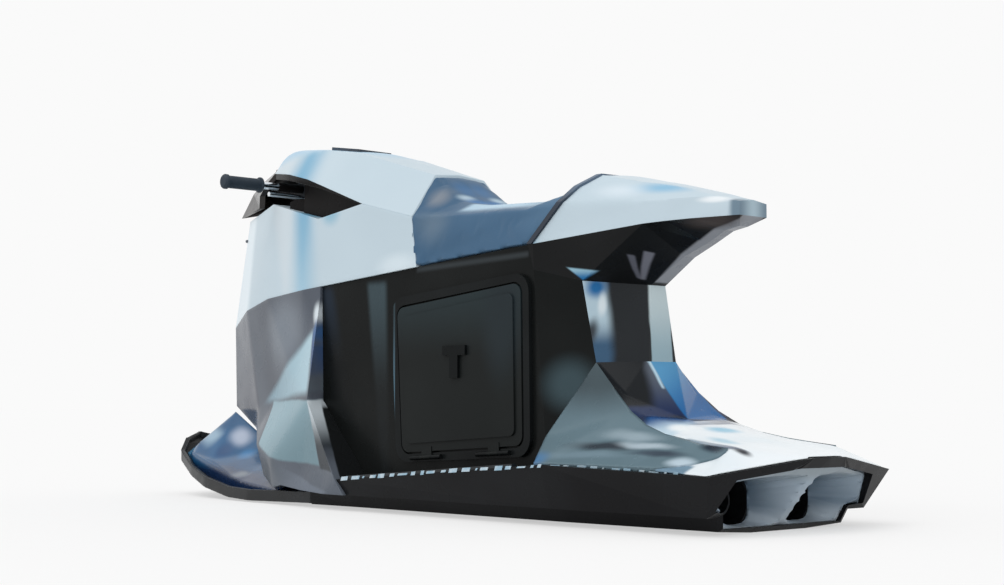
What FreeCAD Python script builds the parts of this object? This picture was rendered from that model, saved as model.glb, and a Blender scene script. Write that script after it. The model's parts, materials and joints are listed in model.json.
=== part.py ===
import FreeCAD, Part
import math
import os

import Sketcher

Vector = FreeCAD.Vector

# Personal watercraft with a straddle seat on a tall trunk, twin jets and a faceted hull.
# X runs forward to the bow, Y to port and Z up. The origin is under the middle of the
# overall length, on the centre line, at the flat of the keel.

# Driving sizes, in millimetres, and angles in degrees
DRIVING = (
    # Overall form
    ("overall_length", 2540),
    ("half_beam", 335),
    ("body_half", 200),
    ("top_height", 1070),
    ("same_point", 0.001),
    ("match_step", 0.01),
    ("flat_error", 0.00001),
    ("overrun", 20),
    # Bow rim
    ("rim_height", 33),
    ("rim_thickness", 16),
    ("pan_edge_height", 16),
    # Jet tunnels, one on each side of the centre line
    ("jet_spread", 230),
    ("jet_height", 68),
    ("tunnel_radius", 58),
    ("tunnel_end", 480),
    ("throat_height", 104),
    ("recess_end", 195),
    ("liner_lip", 6),
    ("liner_roof", 14),
    ("divider_half", 11),
    ("flare_reach", 80),
    # Pump housing, nozzle and impeller
    ("pump_bore", 44),
    ("pump_wall", 6),
    ("pump_length", 207),
    ("nozzle_overlap", 12),
    ("ball_gap", 0.6),
    ("pin_radius", 4),
    ("pin_fit", 0.15),
    ("nozzle_wall", 6),
    ("nozzle_reach", 60),
    ("nozzle_exit", 28),
    ("nozzle_nose", 20),
    ("nozzle_shoulder", 22),
    ("hub_radius", 16),
    ("hub_length", 56),
    ("hub_station", 400),
    ("blade_gap", 0.6),
    ("blade_thickness", 4),
    ("blade_chord", 40),
    ("blade_pitch", 24),
    ("shaft_radius", 9),
    ("shaft_clearance", 1),
    ("shaft_fit", 0.1),
    ("shaft_end_gap", 5),
    # Intake duct and grate
    ("duct_width", 90),
    ("duct_height", 112),
    ("duct_lip", 24),
    ("duct_throat", 600),
    ("intake_start", 540),
    ("intake_end", 800),
    ("grate_thickness", 6),
    ("grate_bar", 8),
    # Motor blocks
    ("motor_station", 830),
    ("motor_length", 230),
    ("motor_width", 100),
    ("motor_height", 80),
    ("motor_floor", 22),
    ("motor_shaft_bore", 40),
    # Trunk and battery bay
    ("trunk_half", 192),
    ("trunk_wall", 12),
    ("bay_sill", 176),
    ("bay_headroom", 97.77),
    ("bay_length", 470),
    ("battery_length", 420),
    ("battery_width", 250),
    ("battery_headroom", 80),
    # Side hatch
    ("hatch_setback", 68.8),
    ("hatch_length", 462),
    ("hatch_sill", 158),
    ("hatch_sill_rise", 27),
    ("hatch_headroom", 109.77),
    ("hatch_head_rise", 47),
    ("hatch_lean", 24),
    ("hatch_aft_lean", 6),
    ("hatch_corner", 26),
    ("hatch_thickness", 13),
    ("hatch_seat_gap", 0.5),
    ("hatch_gap", 5),
    ("hatch_seat", 14),
    ("panel_inset", 24),
    ("panel_rise", 5),
    ("frame_width", 22),
    ("frame_thickness", 12),
    ("knuckle_radius", 6),
    ("knuckle_length", 40),
    ("knuckle_gap", 0.3),
    ("leaf_thickness", 2),
    # Latch handle
    ("latch_length", 84),
    ("latch_width", 32),
    ("latch_head", 88),
    ("latch_head_height", 25),
    ("latch_thickness", 8),
    ("latch_rise", 22),
    # Slot round the handlebar
    ("core_half", 140),
    ("visor_wall", 10),
    ("visor_depth", 15),
    # Handlebar
    ("bar_rise", 56.2),
    ("bar_radius", 11),
    ("bar_half", 309),
    ("grip_radius", 20),
    ("grip_length", 126),
    ("grip_gap", 0.3),
    ("flange_radius", 24),
    ("flange_width", 8),
    ("column_radius", 17),
    ("column_depth", 80),
    ("column_rake", 10),
    ("clamp_length", 60),
    ("clamp_width", 44),
    ("clamp_height", 46),
    ("brace_radius", 7),
    ("brace_drop", 24),
    ("brace_end_gap", 34),
    # Trim
    ("trim_width", 18),
    ("trim_proud", 6),
    ("strip_width", 14),
    ("strip_height", 7),
    ("knob_radius", 5),
    ("knob_length", 5),
    ("display_half", 62),
    ("display_thickness", 3),
)

doc = FreeCAD.newDocument("watercraft")
sheet = doc.addObject("Spreadsheet::Sheet", "sizes")
for row, (alias, number) in enumerate(DRIVING, start=1):
    sheet.set("A%d" % row, alias)
    sheet.set("B%d" % row, str(number))
    sheet.setAlias("B%d" % row, alias)
doc.recompute()


def size(alias):
    """A driving size from the sheet."""
    return float(sheet.get(alias))


LENGTH = size("overall_length")
TOP = size("top_height")
TOUCH = size("same_point")
FLATNESS = size("flat_error")
FULL_TURN = 360
PORT = Vector(0, 1, 0)
FORWARD = Vector(1, 0, 0)
UPWARD = Vector(0, 0, 1)

# Corners of the hull: shares of the length from the stern, of the half beam and of the height
HULL_SHARES = {
    "transom_keel": (0.059, 0.000, 0.000),
    "transom_pad": (0.059, 0.300, 0.000),
    "transom_low": (0.055, 0.675, 0.007),
    "transom_step": (0.051, 0.716, 0.037),
    "transom_chine": (0.047, 0.866, 0.038),
    "transom_rail": (0.030, 1.000, 0.124),
    "transom_top": (0.001, 0.170, 0.158),
    "transom_centre": (0.000, 0.000, 0.158),
    "aft_keel": (0.232, 0.000, 0.000),
    "aft_pad": (0.232, 0.300, 0.000),
    "aft_low": (0.232, 0.716, 0.007),
    "aft_step": (0.232, 0.752, 0.037),
    "aft_chine": (0.232, 0.890, 0.039),
    "aft_rail": (0.232, 0.994, 0.136),
    "aft_deck_side": (0.232, 0.170, 0.136),
    "aft_deck": (0.232, 0.000, 0.136),
    "fore_keel": (0.554, 0.000, 0.000),
    "fore_pad": (0.554, 0.300, 0.000),
    "fore_low": (0.554, 0.731, 0.008),
    "fore_step": (0.554, 0.758, 0.038),
    "fore_chine": (0.554, 0.872, 0.040),
    "fore_rail": (0.554, 0.896, 0.079),
    "fore_deck_side": (0.554, 0.170, 0.079),
    "fore_deck": (0.554, 0.000, 0.079),
    "step_keel": (0.623, 0.000, 0.000),
    "step_pad": (0.623, 0.300, 0.000),
    "step_low": (0.623, 0.746, 0.008),
    "step_notch": (0.623, 0.752, 0.039),
    "step_chine": (0.623, 0.770, 0.042),
    "step_rail": (0.623, 0.782, 0.065),
    "step_deck_side": (0.623, 0.170, 0.065),
    "step_deck": (0.623, 0.000, 0.065),
}

# Lower outer edge of the bow rim, from the hull's step to the tip of the bow
RIM_SHARES = (
    (0.623, 0.746, 0.010),
    (0.754, 0.701, 0.004),
    (0.805, 0.657, 0.008),
    (0.866, 0.597, 0.030),
    (0.913, 0.507, 0.058),
    (0.961, 0.388, 0.100),
    (0.980, 0.239, 0.136),
    (1.000, 0.000, 0.154),
)
# Depth of the pan's centre line under the rim's lower edge, as a share of the rim's height
KEEL_DROP_SHARES = (0.320, 0.080, 0.120, 0.300, 0.420, 0.450, 0.400, 0.300)
PAN_PAD_SHARE = 0.430

# Corners of the aft deck and of the footwells, shares as for the hull
DECK_SHARES = {
    "ridge_1": (0.165, 0.000, 0.235),
    "ridge_2": (0.055, 0.000, 0.186),
    "spine_1": (0.197, 0.391, 0.290),
    "spine_2": (0.173, 0.382, 0.242),
    "spine_3": (0.114, 0.173, 0.211),
    "flow_0": (0.201, 0.448, 0.296),
    "flow_1": (0.179, 0.478, 0.253),
    "flow_2": (0.157, 0.507, 0.224),
    "flow_3": (0.131, 0.537, 0.205),
    "flow_4": (0.102, 0.545, 0.193),
    "lip_1": (0.084, 0.597, 0.186),
    "lip_2": (0.052, 0.597, 0.178),
    "lip_3": (0.056, 0.657, 0.161),
    "lip_4": (0.071, 0.836, 0.146),
    "lip_5": (0.102, 0.925, 0.137),
    "well_1": (0.261, 0.836, 0.137),
    "well_2": (0.189, 0.901, 0.138),
    "well_3": (0.134, 0.919, 0.138),
}

# Corners of the faceted cap inside the bow rim, shares as for the hull
PROW_SHARES = {
    "apex": (0.915, 0.000, 0.246),
    "nose": (0.978, 0.000, 0.165),
    "shoulder": (0.940, 0.299, 0.151),
    "corner": (0.963, 0.299, 0.122),
    "elbow": (0.932, 0.400, 0.125),
    "fold": (0.894, 0.358, 0.107),
    "low": (0.799, 0.537, 0.053),
    "end": (0.709, 0.633, 0.035),
    "end_top": (0.709, 0.000, 0.084),
    "back": (0.827, 0.000, 0.140),
}

# Corners of everything above the hull: shares of the length, of the body's half width and of
# the height
BODY_SHARES = {
    "front_top": (0.917, 0.000, 0.498),
    "base_2": (0.839, 0.475, 0.539),
    "base_3": (0.765, 0.750, 0.564),
    "base_4": (0.669, 1.000, 0.576),
    "base_5": (0.470, 1.000, 0.611),
    "chin_front": (0.913, 0.000, 0.263),
    "chin_back": (0.870, 0.000, 0.199),
    "node_a": (0.805, 0.550, 0.256),
    "node_a_low": (0.796, 0.650, 0.196),
    "crease_1": (0.746, 0.750, 0.278),
    "crease_2": (0.687, 1.000, 0.339),
    "crease_3": (0.665, 1.000, 0.415),
    "crease_4": (0.650, 1.000, 0.485),
    "strip_top": (0.636, 1.000, 0.554),
    "node_b": (0.633, 1.250, 0.279),
    "bulge_1": (0.591, 1.400, 0.100),
    "bulge_2": (0.635, 1.300, 0.099),
    "bulge_3": (0.707, 1.220, 0.120),
    "bulge_4": (0.768, 0.900, 0.157),
    "skirt_tip": (0.540, 1.520, 0.040),
    "skirt_1": (0.577, 1.500, 0.040),
    "skirt_2": (0.629, 1.400, 0.045),
    "skirt_3": (0.674, 1.320, 0.054),
    "skirt_4": (0.697, 1.250, 0.045),
    "skirt_5": (0.737, 1.050, 0.077),
    "gun_tip": (0.554, 1.530, 0.079),
    "hood_notch": (0.478, 1.000, 0.739),
    "slot_tip": (0.562, 1.000, 0.788),
    "slot_low_1": (0.641, 1.000, 0.763),
    "slot_low_2": (0.771, 0.600, 0.835),
    "slot_front": (0.887, 0.000, 0.815),
    "slot_up_1": (0.642, 0.950, 0.855),
    "slot_up_2": (0.673, 0.900, 0.879),
    "slot_up_3": (0.725, 0.750, 0.907),
    "slot_up_4": (0.769, 0.600, 0.922),
    "hood_lip": (0.826, 0.000, 0.960),
    "crown_0": (0.489, 0.458, 0.856),
    "crown_1": (0.606, 0.600, 0.940),
    "crown_2": (0.696, 0.525, 0.974),
    "crown_3": (0.769, 0.350, 0.993),
    "top_0": (0.489, 0.000, 0.863),
    "top_1": (0.606, 0.000, 0.950),
    "top_2": (0.696, 0.000, 0.983),
    "top_3": (0.769, 0.000, 1.000),
    "seat_rear_low": (0.301, 1.000, 0.640),
    "seat_crease_front": (0.462, 0.950, 0.736),
    "seat_crease_dip": (0.405, 0.940, 0.729),
    "seat_crease_mid": (0.319, 0.920, 0.725),
    "seat_crease_rear": (0.267, 0.900, 0.730),
    "seat_wall": (0.467, 0.000, 0.812),
    "seat_wall_side": (0.467, 0.450, 0.810),
    "seat_foot": (0.444, 0.000, 0.775),
    "seat_foot_side": (0.444, 0.467, 0.774),
    "seat_dip": (0.405, 0.000, 0.758),
    "seat_dip_side": (0.405, 0.580, 0.755),
    "seat_mid": (0.293, 0.000, 0.746),
    "seat_mid_side": (0.293, 0.600, 0.743),
    "seat_band": (0.255, 0.750, 0.766),
    "seat_top_side": (0.237, 0.600, 0.790),
    "seat_top": (0.230, 0.000, 0.789),
    "tail_low_2": (0.172, 0.680, 0.669),
    "tail_low_3": (0.150, 0.600, 0.672),
    "tail_low_4": (0.127, 0.480, 0.675),
    "tail_end_low": (0.084, 0.250, 0.678),
    "tail_crease_2": (0.172, 0.650, 0.719),
    "tail_crease_3": (0.144, 0.550, 0.719),
    "tail_crease_4": (0.114, 0.375, 0.721),
    "tail_end_top": (0.084, 0.250, 0.708),
    "tail_side_1": (0.191, 0.500, 0.767),
    "tail_side_2": (0.147, 0.400, 0.746),
    "tail_ridge_1": (0.191, 0.000, 0.771),
    "tail_ridge_2": (0.147, 0.000, 0.749),
    "tail_ridge_3": (0.105, 0.000, 0.727),
    "tail_end_ridge": (0.084, 0.000, 0.714),
    "shoulder": (0.296, 0.960, 0.580),
    "pillar_corner": (0.245, 0.762, 0.550),
    "pillar_top": (0.201, 0.132, 0.540),
    "keel_1": (0.161, 0.098, 0.600),
    "keel_2": (0.134, 0.075, 0.626),
    "keel_3": (0.112, 0.075, 0.651),
    "keel_4": (0.095, 0.075, 0.658),
    "foot": (0.280, 0.960, 0.194),
    "pillar_foot_corner": (0.229, 0.734, 0.363),
    "pillar_foot": (0.196, 0.249, 0.365),
    "trunk_front_low": (0.636, 0.960, 0.040),
    "trunk_rear_low": (0.280, 0.960, 0.100),
    "visor_top": (0.856, 0.000, 0.930),
    "visor_bend": (0.880, 0.000, 0.897),
    "visor_tip": (0.906, 0.000, 0.828),
    "visor_side_top": (0.800, 0.480, 0.900),
    "visor_side_bend": (0.822, 0.400, 0.872),
    "visor_side": (0.834, 0.300, 0.840),
}


def place(shares, half_width):
    """A corner from its shares of the length, of a half width and of the height."""
    along, out, high = shares
    return Vector((along - 0.5) * LENGTH, out * half_width, high * TOP)


HULL = {name: place(shares, size("half_beam")) for name, shares in HULL_SHARES.items()}
DECK = {name: place(shares, size("half_beam")) for name, shares in DECK_SHARES.items()}
PROW = {name: place(shares, size("half_beam")) for name, shares in PROW_SHARES.items()}
RIM = [place(shares, size("half_beam")) for shares in RIM_SHARES]
BODY = {name: place(shares, size("body_half")) for name, shares in BODY_SHARES.items()}
STRIP_BASE_SHARE = 0.166


# Solids from flat facets

def mirrored(corner):
    """The same corner on the starboard side."""
    return Vector(corner.x, -corner.y, corner.z)


def lowered(corner, base):
    """The same corner at the height of a base."""
    return Vector(corner.x, corner.y, base)


def shifted(corner, along, out, up):
    """A corner moved along, out and up."""
    return corner + Vector(along, out, up)


def between(first, second, share):
    """A point on the line between two corners."""
    return first + (second - first) * share


def same(first, second):
    """Whether two corners are one place."""
    return first.distanceToPoint(second) < TOUCH


def turned_area(corners):
    """Twice the area of a ring of corners, as a vector along its normal."""
    total = Vector(0, 0, 0)
    for i, corner in enumerate(corners):
        total += (corners[i - 1] - corners[0]).cross(corner - corners[0])
    return total


def facets_of(ring):
    """The flat faces that fill a ring of corners: triangles where it isn't flat."""
    corners = [corner for i, corner in enumerate(ring) if not same(corner, ring[i - 1])]
    normal = turned_area(corners)
    if normal.Length < TOUCH:
        return []
    normal.normalize()
    flat = all(abs((corner - corners[0]).dot(normal)) < FLATNESS for corner in corners)
    if flat:
        return [Part.Face(Part.makePolygon(corners + [corners[0]]))]
    fan = [[corners[0], corners[i], corners[i + 1]] for i in range(1, len(corners) - 1)]
    if any(turned_area(triangle).Length < TOUCH for triangle in fan):
        middle = sum(corners, Vector(0, 0, 0)) / len(corners)
        fan = [[middle, corners[i - 1], corners[i]] for i in range(len(corners))]
    pieces = []
    for triangle in fan:
        pieces += facets_of(triangle)
    return pieces


def closed(rings):
    """A solid from rings of corners that enclose a space."""
    faces = []
    for ring in rings:
        faces += facets_of(ring)
    shell = Part.makeShell(faces)
    shell.sewShape()
    solid = Part.makeSolid(shell)
    if solid.Volume < 0:
        solid.reverse()
    return solid


def key(corner):
    """A corner as numbers that can be compared."""
    return tuple(round(number / size("match_step")) for number in corner)


def open_edges(rings):
    """The edges that only one ring has, in its order."""
    count = {}
    for ring in rings:
        for i, corner in enumerate(ring):
            pair = frozenset((key(ring[i - 1]), key(corner)))
            count[pair] = count.get(pair, 0) + 1
    edges = []
    for ring in rings:
        for i, corner in enumerate(ring):
            if count[frozenset((key(ring[i - 1]), key(corner)))] == 1:
                edges.append((ring[i - 1], corner))
    return edges


def across(port_rings):
    """A symmetric solid from its port facets, closed straight across from side to side."""
    rings = list(port_rings)
    rings += [[mirrored(corner) for corner in ring] for ring in port_rings]
    for first, second in open_edges(port_rings):
        if abs(first.y) > TOUCH or abs(second.y) > TOUCH:
            rings.append([first, second, mirrored(second), mirrored(first)])
    return closed(rings)


def columns(top_rings, base):
    """A solid under a facetted top, with upright sides down to a flat base."""
    rings = list(top_rings)
    rings += [[lowered(corner, base) for corner in ring] for ring in top_rings]
    for first, second in open_edges(top_rings):
        rings.append([first, second, lowered(second, base), lowered(first, base)])
    return closed(rings)


def both_sides(port_rings):
    """The port facets and their starboard twins."""
    return port_rings + [[mirrored(corner) for corner in ring] for ring in port_rings]


def rings_from(table, *names):
    """Rings of corners from lines of corner names."""
    return [[table[name] for name in line.split()] for line in names]


def feature(label, shape):
    """A piece whose faceted shape is made from its corners."""
    piece = doc.addObject("Part::Feature", label)
    piece.Label = label
    piece.Shape = shape
    return piece


def bound(piece, **expressions):
    """Binds properties of a piece to the sheet; a double underscore stands for a dot."""
    for name, expression in expressions.items():
        piece.setExpression(name.replace("__", "."), expression)
    return piece


def primitive(kind, label, **expressions):
    """A Part primitive with its sizes bound to the sheet."""
    piece = doc.addObject("Part::" + kind, label)
    piece.Label = label
    return bound(piece, **expressions)


def combined(kind, label, base, *tools):
    """A cut, fuse or common of pieces."""
    tool = tools[0]
    if len(tools) > 1:
        tool = doc.addObject("Part::MultiFuse", label + "_tools")
        tool.Shapes = list(tools)
    piece = doc.addObject("Part::" + kind, label)
    piece.Label = label
    piece.Base = base
    piece.Tool = tool
    return piece


def mirror_of(piece, label):
    """The starboard twin of a port piece."""
    twin = doc.addObject("Part::Mirroring", label)
    twin.Label = label
    twin.Source = piece
    twin.Normal = PORT
    twin.Base = Vector(0, 0, 0)
    return twin


def origin_plane(body, role):
    """One of a body's own origin planes."""
    return next(item for item in body.Origin.OriginFeatures if item.Role == role)


def polygon_sketch(body, name, role, corners):
    """A closed polygon whose corners are bound to pairs of expressions."""
    sketch = body.newObject("Sketcher::SketchObject", name)
    sketch.AttachmentSupport = [(origin_plane(body, role), "")]
    sketch.MapMode = "FlatFace"
    places = []
    for across_text, up_text in corners:
        places.append(Vector(evaluated(across_text), evaluated(up_text), 0))
    count = len(places)
    for i in range(count):
        sketch.addGeometry(Part.LineSegment(places[i], places[(i + 1) % count]), False)
    for i in range(count):
        sketch.addConstraint(Sketcher.Constraint("Coincident", i, 2, (i + 1) % count, 1))
    for i, (across_text, up_text) in enumerate(corners):
        for kind, text, number in (("DistanceX", across_text, places[i].x),
                                   ("DistanceY", up_text, places[i].y)):
            index = sketch.addConstraint(Sketcher.Constraint(kind, -1, 1, i, 1, number))
            sketch.setExpression("Constraints[%d]" % index, text)
    return sketch


def evaluated(text):
    """The number that an expression of sheet sizes gives."""
    return float(sheet.evalExpression(text))


def body_of(label):
    """A new body."""
    body = doc.addObject("PartDesign::Body", label)
    body.Label = label
    return body


def plate(label, role, corners, thickness):
    """A flat plate, padded to both sides of its sketch."""
    body = body_of(label)
    sketch = polygon_sketch(body, label + "_outline", role, corners)
    pad = body.newObject("PartDesign::Pad", label + "_pad")
    pad.Profile = sketch
    pad.Midplane = True
    pad.setExpression("Length", thickness)
    return body


def rounded(body, radius, axis):
    """Rounds the edges of a body's last feature that run along an axis."""
    doc.recompute()
    last = body.Tip
    names = []
    for i, edge in enumerate(last.Shape.Edges, start=1):
        direction = edge.Vertexes[-1].Point - edge.Vertexes[0].Point
        if direction.Length > TOUCH and direction.cross(axis).Length < TOUCH:
            names.append("Edge%d" % i)
    fillet = body.newObject("PartDesign::Fillet", body.Label + "_rounding")
    fillet.Base = (last, names)
    fillet.setExpression("Radius", radius)
    return body


def with_width(corner, half_width):
    """A corner moved to a given distance from the centre line."""
    return Vector(corner.x, half_width, corner.z)


BODY["strip_base"] = between(BODY["base_4"], BODY["base_5"], STRIP_BASE_SHARE)
BODY["trunk_nose"] = with_width(BODY["strip_base"], size("trunk_half"))
BODY["trunk_base"] = with_width(BODY["base_5"], size("trunk_half"))
BODY["trunk_rear"] = with_width(BODY["seat_rear_low"], size("trunk_half"))
BODY["trunk_front_low"] = with_width(BODY["trunk_front_low"], size("trunk_half"))
BODY["trunk_rear_low"] = with_width(BODY["trunk_rear_low"], size("trunk_half"))
BODY["shoulder"] = with_width(BODY["shoulder"], size("trunk_half"))
BODY["foot"] = with_width(BODY["foot"], size("trunk_half"))
BODY["pillar_foot_low"] = lowered(BODY["pillar_foot_corner"], BODY["trunk_rear_low"].z)


# Hull

def hull_form():
    """The whole lower hull, with the bow pan ahead of its step."""
    port = rings_from(
        HULL,
        "transom_keel transom_pad aft_pad aft_keel",
        "transom_pad transom_low aft_low aft_pad",
        "transom_low transom_step aft_step aft_low",
        "transom_step transom_chine aft_chine aft_step",
        "transom_chine transom_rail aft_rail aft_chine",
        "transom_rail transom_top aft_deck_side aft_rail",
        "transom_top transom_centre aft_deck aft_deck_side",
        "transom_centre transom_top transom_pad transom_keel",
        "transom_top transom_rail transom_chine",
        "transom_top transom_chine transom_step",
        "transom_top transom_step transom_low",
        "transom_top transom_low transom_pad",
        "aft_keel aft_pad fore_pad fore_keel",
        "aft_pad aft_low fore_low fore_pad",
        "aft_low aft_step fore_step fore_low",
        "aft_step aft_chine fore_chine fore_step",
        "aft_chine aft_rail fore_rail fore_chine",
        "aft_rail aft_deck_side fore_deck_side fore_rail",
        "aft_deck_side aft_deck fore_deck fore_deck_side",
        "fore_keel fore_pad step_pad step_keel",
        "fore_pad fore_low step_low step_pad",
        "fore_low fore_step step_notch step_low",
        "fore_step fore_chine step_chine step_notch",
        "fore_chine fore_rail step_rail step_chine",
        "fore_rail fore_deck_side step_deck_side step_rail",
        "fore_deck_side fore_deck step_deck step_deck_side",
    )
    section = ("keel", "pad", "low", "notch", "chine", "rail", "deck_side", "deck")
    port.append([HULL["step_" + name] for name in section])
    return across(port).fuse(pan_form())


def deck_shadow():
    """The space from the hull's deck downwards."""
    top = rings_from(
        HULL,
        "transom_rail transom_top aft_deck_side aft_rail",
        "transom_top transom_centre aft_deck aft_deck_side",
        "aft_rail aft_deck_side fore_deck_side fore_rail",
        "aft_deck_side aft_deck fore_deck fore_deck_side",
    )
    return columns(both_sides(top), -size("overrun"))


def pan_stations():
    """Sections of the bow pan: keel, pad, low, edge and deck centre at each rim corner."""
    inside = size("rim_thickness")
    edge = size("pan_edge_height")
    sections = []
    for rim, drop in zip(RIM, KEEL_DROP_SHARES):
        out = max(rim.y - inside, 0)
        along = rim.x - (inside if rim.y < TOUCH else 0)
        keel = rim.z - drop * size("rim_height")
        sections.append((
            Vector(along, 0, max(keel, 0)),
            Vector(along, out * PAN_PAD_SHARE, max(keel, 0)),
            Vector(along, out, rim.z),
            Vector(along, out, rim.z + edge),
            Vector(along, 0, rim.z + edge),
        ))
    return sections


def pan_form():
    """The bow pan, a shallow tray of facets that rises to the tip."""
    sections = pan_stations()
    port = [list(sections[0])]
    for rear, front in zip(sections, sections[1:]):
        for i in range(4):
            port.append([rear[i], rear[i + 1], front[i + 1], front[i]])
    return across(port)


def pan_shadow():
    """The space from the pan's top downwards."""
    sections = pan_stations()
    top = [[rear[3], rear[4], front[4], front[3]]
           for rear, front in zip(sections, sections[1:])]
    return columns(both_sides(top), -size("overrun"))


def rim_form():
    """The port half of the raised rim round the bow."""
    tall = size("rim_height")
    thick = size("rim_thickness")
    sections = []
    for rim in RIM:
        on_centre = rim.y < TOUCH
        inward = Vector(-thick, 0, 0) if on_centre else Vector(0, -thick, 0)
        sections.append((rim, rim + Vector(0, 0, tall), rim + inward + Vector(0, 0, tall),
                         rim + inward))
    rings = [list(sections[0]), list(sections[-1])]
    for rear, front in zip(sections, sections[1:]):
        for i in range(4):
            rings.append([rear[i - 1], rear[i], front[i], front[i - 1]])
    return closed(rings)


def prow_form():
    """The faceted cap that stands on the pan inside the rim."""
    top = rings_from(
        PROW,
        "apex nose corner shoulder",
        "apex shoulder fold",
        "shoulder corner elbow",
        "shoulder elbow fold",
        "fold elbow low",
        "apex fold back",
        "back fold low",
        "back low end end_top",
    )
    return columns(both_sides(top), 0)


# Stern recess and its liner

LINER_SHARES = {
    "crown": (0.035, 0.752, 0.115),
    "top": (0.013, 0.240, 0.136),
    "top_centre": (0.013, 0.000, 0.136),
    "chine": (0.049, 0.818, 0.050),
    "step": (0.053, 0.690, 0.046),
    "low": (0.058, 0.645, 0.011),
    "low_centre": (0.059, 0.000, 0.011),
}
LINER = {name: place(shares, size("half_beam")) for name, shares in LINER_SHARES.items()}
MOUTH = ("top_centre", "top", "crown", "chine", "step", "low", "low_centre")
RECESS_END = size("recess_end") - LENGTH / 2
JET = Vector(0, size("jet_spread") / 2, size("jet_height"))
FLARE_SIDES = 32
THROAT_POWER = 4


def liner_block():
    """The block of the stern liner, from its mouth to the end of the recess."""
    port_mouth = [LINER[name] for name in MOUTH]
    port_end = [Vector(RECESS_END, corner.y, corner.z) for corner in port_mouth]
    port = [port_end]
    for i in range(len(MOUTH) - 1):
        port.append([port_mouth[i], port_mouth[i + 1], port_end[i + 1], port_end[i]])
    rings = port + [[mirrored(corner) for corner in ring] for ring in port]
    centre = between(LINER["top_centre"], LINER["low_centre"], 0.5)
    for i in range(len(MOUTH) - 1):
        rings.append([centre, port_mouth[i], port_mouth[i + 1]])
        rings.append([centre, mirrored(port_mouth[i]), mirrored(port_mouth[i + 1])])
    return closed(rings)


def recess_form():
    """The space that the stern recess takes out of the hull, open aft."""
    aft = -LENGTH / 2 - size("overrun")
    outline = [LINER[name] for name in MOUTH]
    outline += [mirrored(corner) for corner in reversed(outline[1:-1])]
    ring = [Vector(aft, corner.y, corner.z) for corner in outline]
    face = Part.Face(Part.makePolygon(ring + [ring[0]]))
    return face.extrude(Vector(RECESS_END - aft, 0, 0))


def flare_form():
    """The port funnel of the liner, from a many-sided mouth to a throat with soft corners."""
    lip = size("liner_lip")
    roof = LINER["top"].z - size("liner_roof")
    outline = []
    for name in MOUTH:
        corner = LINER[name]
        inward = Vector(0, JET.y - corner.y, JET.z - corner.z)
        inward.normalize()
        outline.append(corner + inward * lip)
    outline = [Vector(corner.x, max(corner.y, size("divider_half")), min(corner.z, roof))
               for corner in outline]
    mouth = []
    throat = []
    for i in range(FLARE_SIDES):
        angle = 2 * math.pi * i / FLARE_SIDES
        ray = Vector(0, math.cos(angle), math.sin(angle))
        mouth.append(ray_meets(outline, ray))
        full = (abs(ray.y) ** THROAT_POWER + abs(ray.z) ** THROAT_POWER) ** (1 / THROAT_POWER)
        throat.append(Vector(RECESS_END, JET.y + ray.y / full * size("tunnel_radius"),
                             JET.z + ray.z / full * size("throat_height") / 2))
    outside = [corner + Vector(-size("flare_reach"), 0, 0) for corner in mouth]
    beyond = [corner + Vector(size("overrun"), 0, 0) for corner in throat]
    rings = [outside, beyond]
    for rear, front in ((outside, mouth), (mouth, throat), (throat, beyond)):
        for i in range(FLARE_SIDES):
            rings.append([rear[i - 1], rear[i], front[i], front[i - 1]])
    return closed(rings)


def ray_meets(outline, ray):
    """Where a ray from the jet's centre meets an outline, with the outline's own station."""
    for i, second in enumerate(outline):
        first = outline[i - 1]
        edge = second - first
        start = first - JET
        spread = ray.y * edge.z - ray.z * edge.y
        if abs(spread) < TOUCH:
            continue
        reach = (start.y * edge.z - start.z * edge.y) / spread
        share = (start.y * ray.z - start.z * ray.y) / spread
        if reach > 0 and -TOUCH <= share <= 1 + TOUCH:
            return Vector(first.x + edge.x * share, JET.y + ray.y * reach, JET.z + ray.z * reach)
    raise ValueError("the jet's centre lies outside the liner")


# Upper body

def fairing_form():
    """The faceted front fairing with its flared skirt, full width."""
    port = rings_from(
        BODY,
        "front_top base_2 node_a chin_front",
        "base_2 base_3 crease_1 node_a",
        "base_3 base_4 crease_3 crease_2 crease_1",
        "base_4 strip_base strip_top crease_4 crease_3",
        "crease_1 crease_2 node_b",
        "crease_2 crease_3 node_b",
        "crease_3 crease_4 node_b",
        "crease_4 strip_top node_b",
        "node_b bulge_3 bulge_4 crease_1",
        "node_b bulge_2 bulge_3",
        "node_b bulge_1 bulge_2",
        "node_b gun_tip bulge_1",
        "crease_1 bulge_4 node_a_low node_a",
        "node_a node_a_low chin_back chin_front",
        "gun_tip skirt_tip skirt_1 bulge_1",
        "bulge_1 skirt_1 skirt_2 bulge_2",
        "bulge_2 skirt_2 skirt_3 bulge_3",
        "bulge_3 skirt_3 skirt_4",
        "bulge_3 skirt_4 skirt_5 bulge_4",
    )
    return across(port)


def trunk_form():
    """The tall trunk between the hull and the seat, with its wedge towards the pillar."""
    port = rings_from(
        BODY,
        "trunk_nose trunk_base trunk_rear shoulder foot trunk_rear_low trunk_front_low",
        "shoulder pillar_corner pillar_foot_corner foot",
        "foot pillar_foot_corner pillar_foot_low trunk_rear_low",
    )
    return across(port)


def pillar_form():
    """The bright wedge behind the trunk."""
    port = rings_from(
        BODY,
        "pillar_corner pillar_top pillar_foot pillar_foot_corner",
    )
    return across(port)


def cowl_form():
    """The lower cowl, up to the slot that the handlebar comes out of."""
    port = rings_from(
        BODY,
        "base_5 base_4 slot_low_1 slot_tip hood_notch",
        "base_4 base_3 slot_low_2 slot_low_1",
        "base_3 base_2 slot_low_2",
        "base_2 front_top slot_front slot_low_2",
    )
    return across(port)


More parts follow.
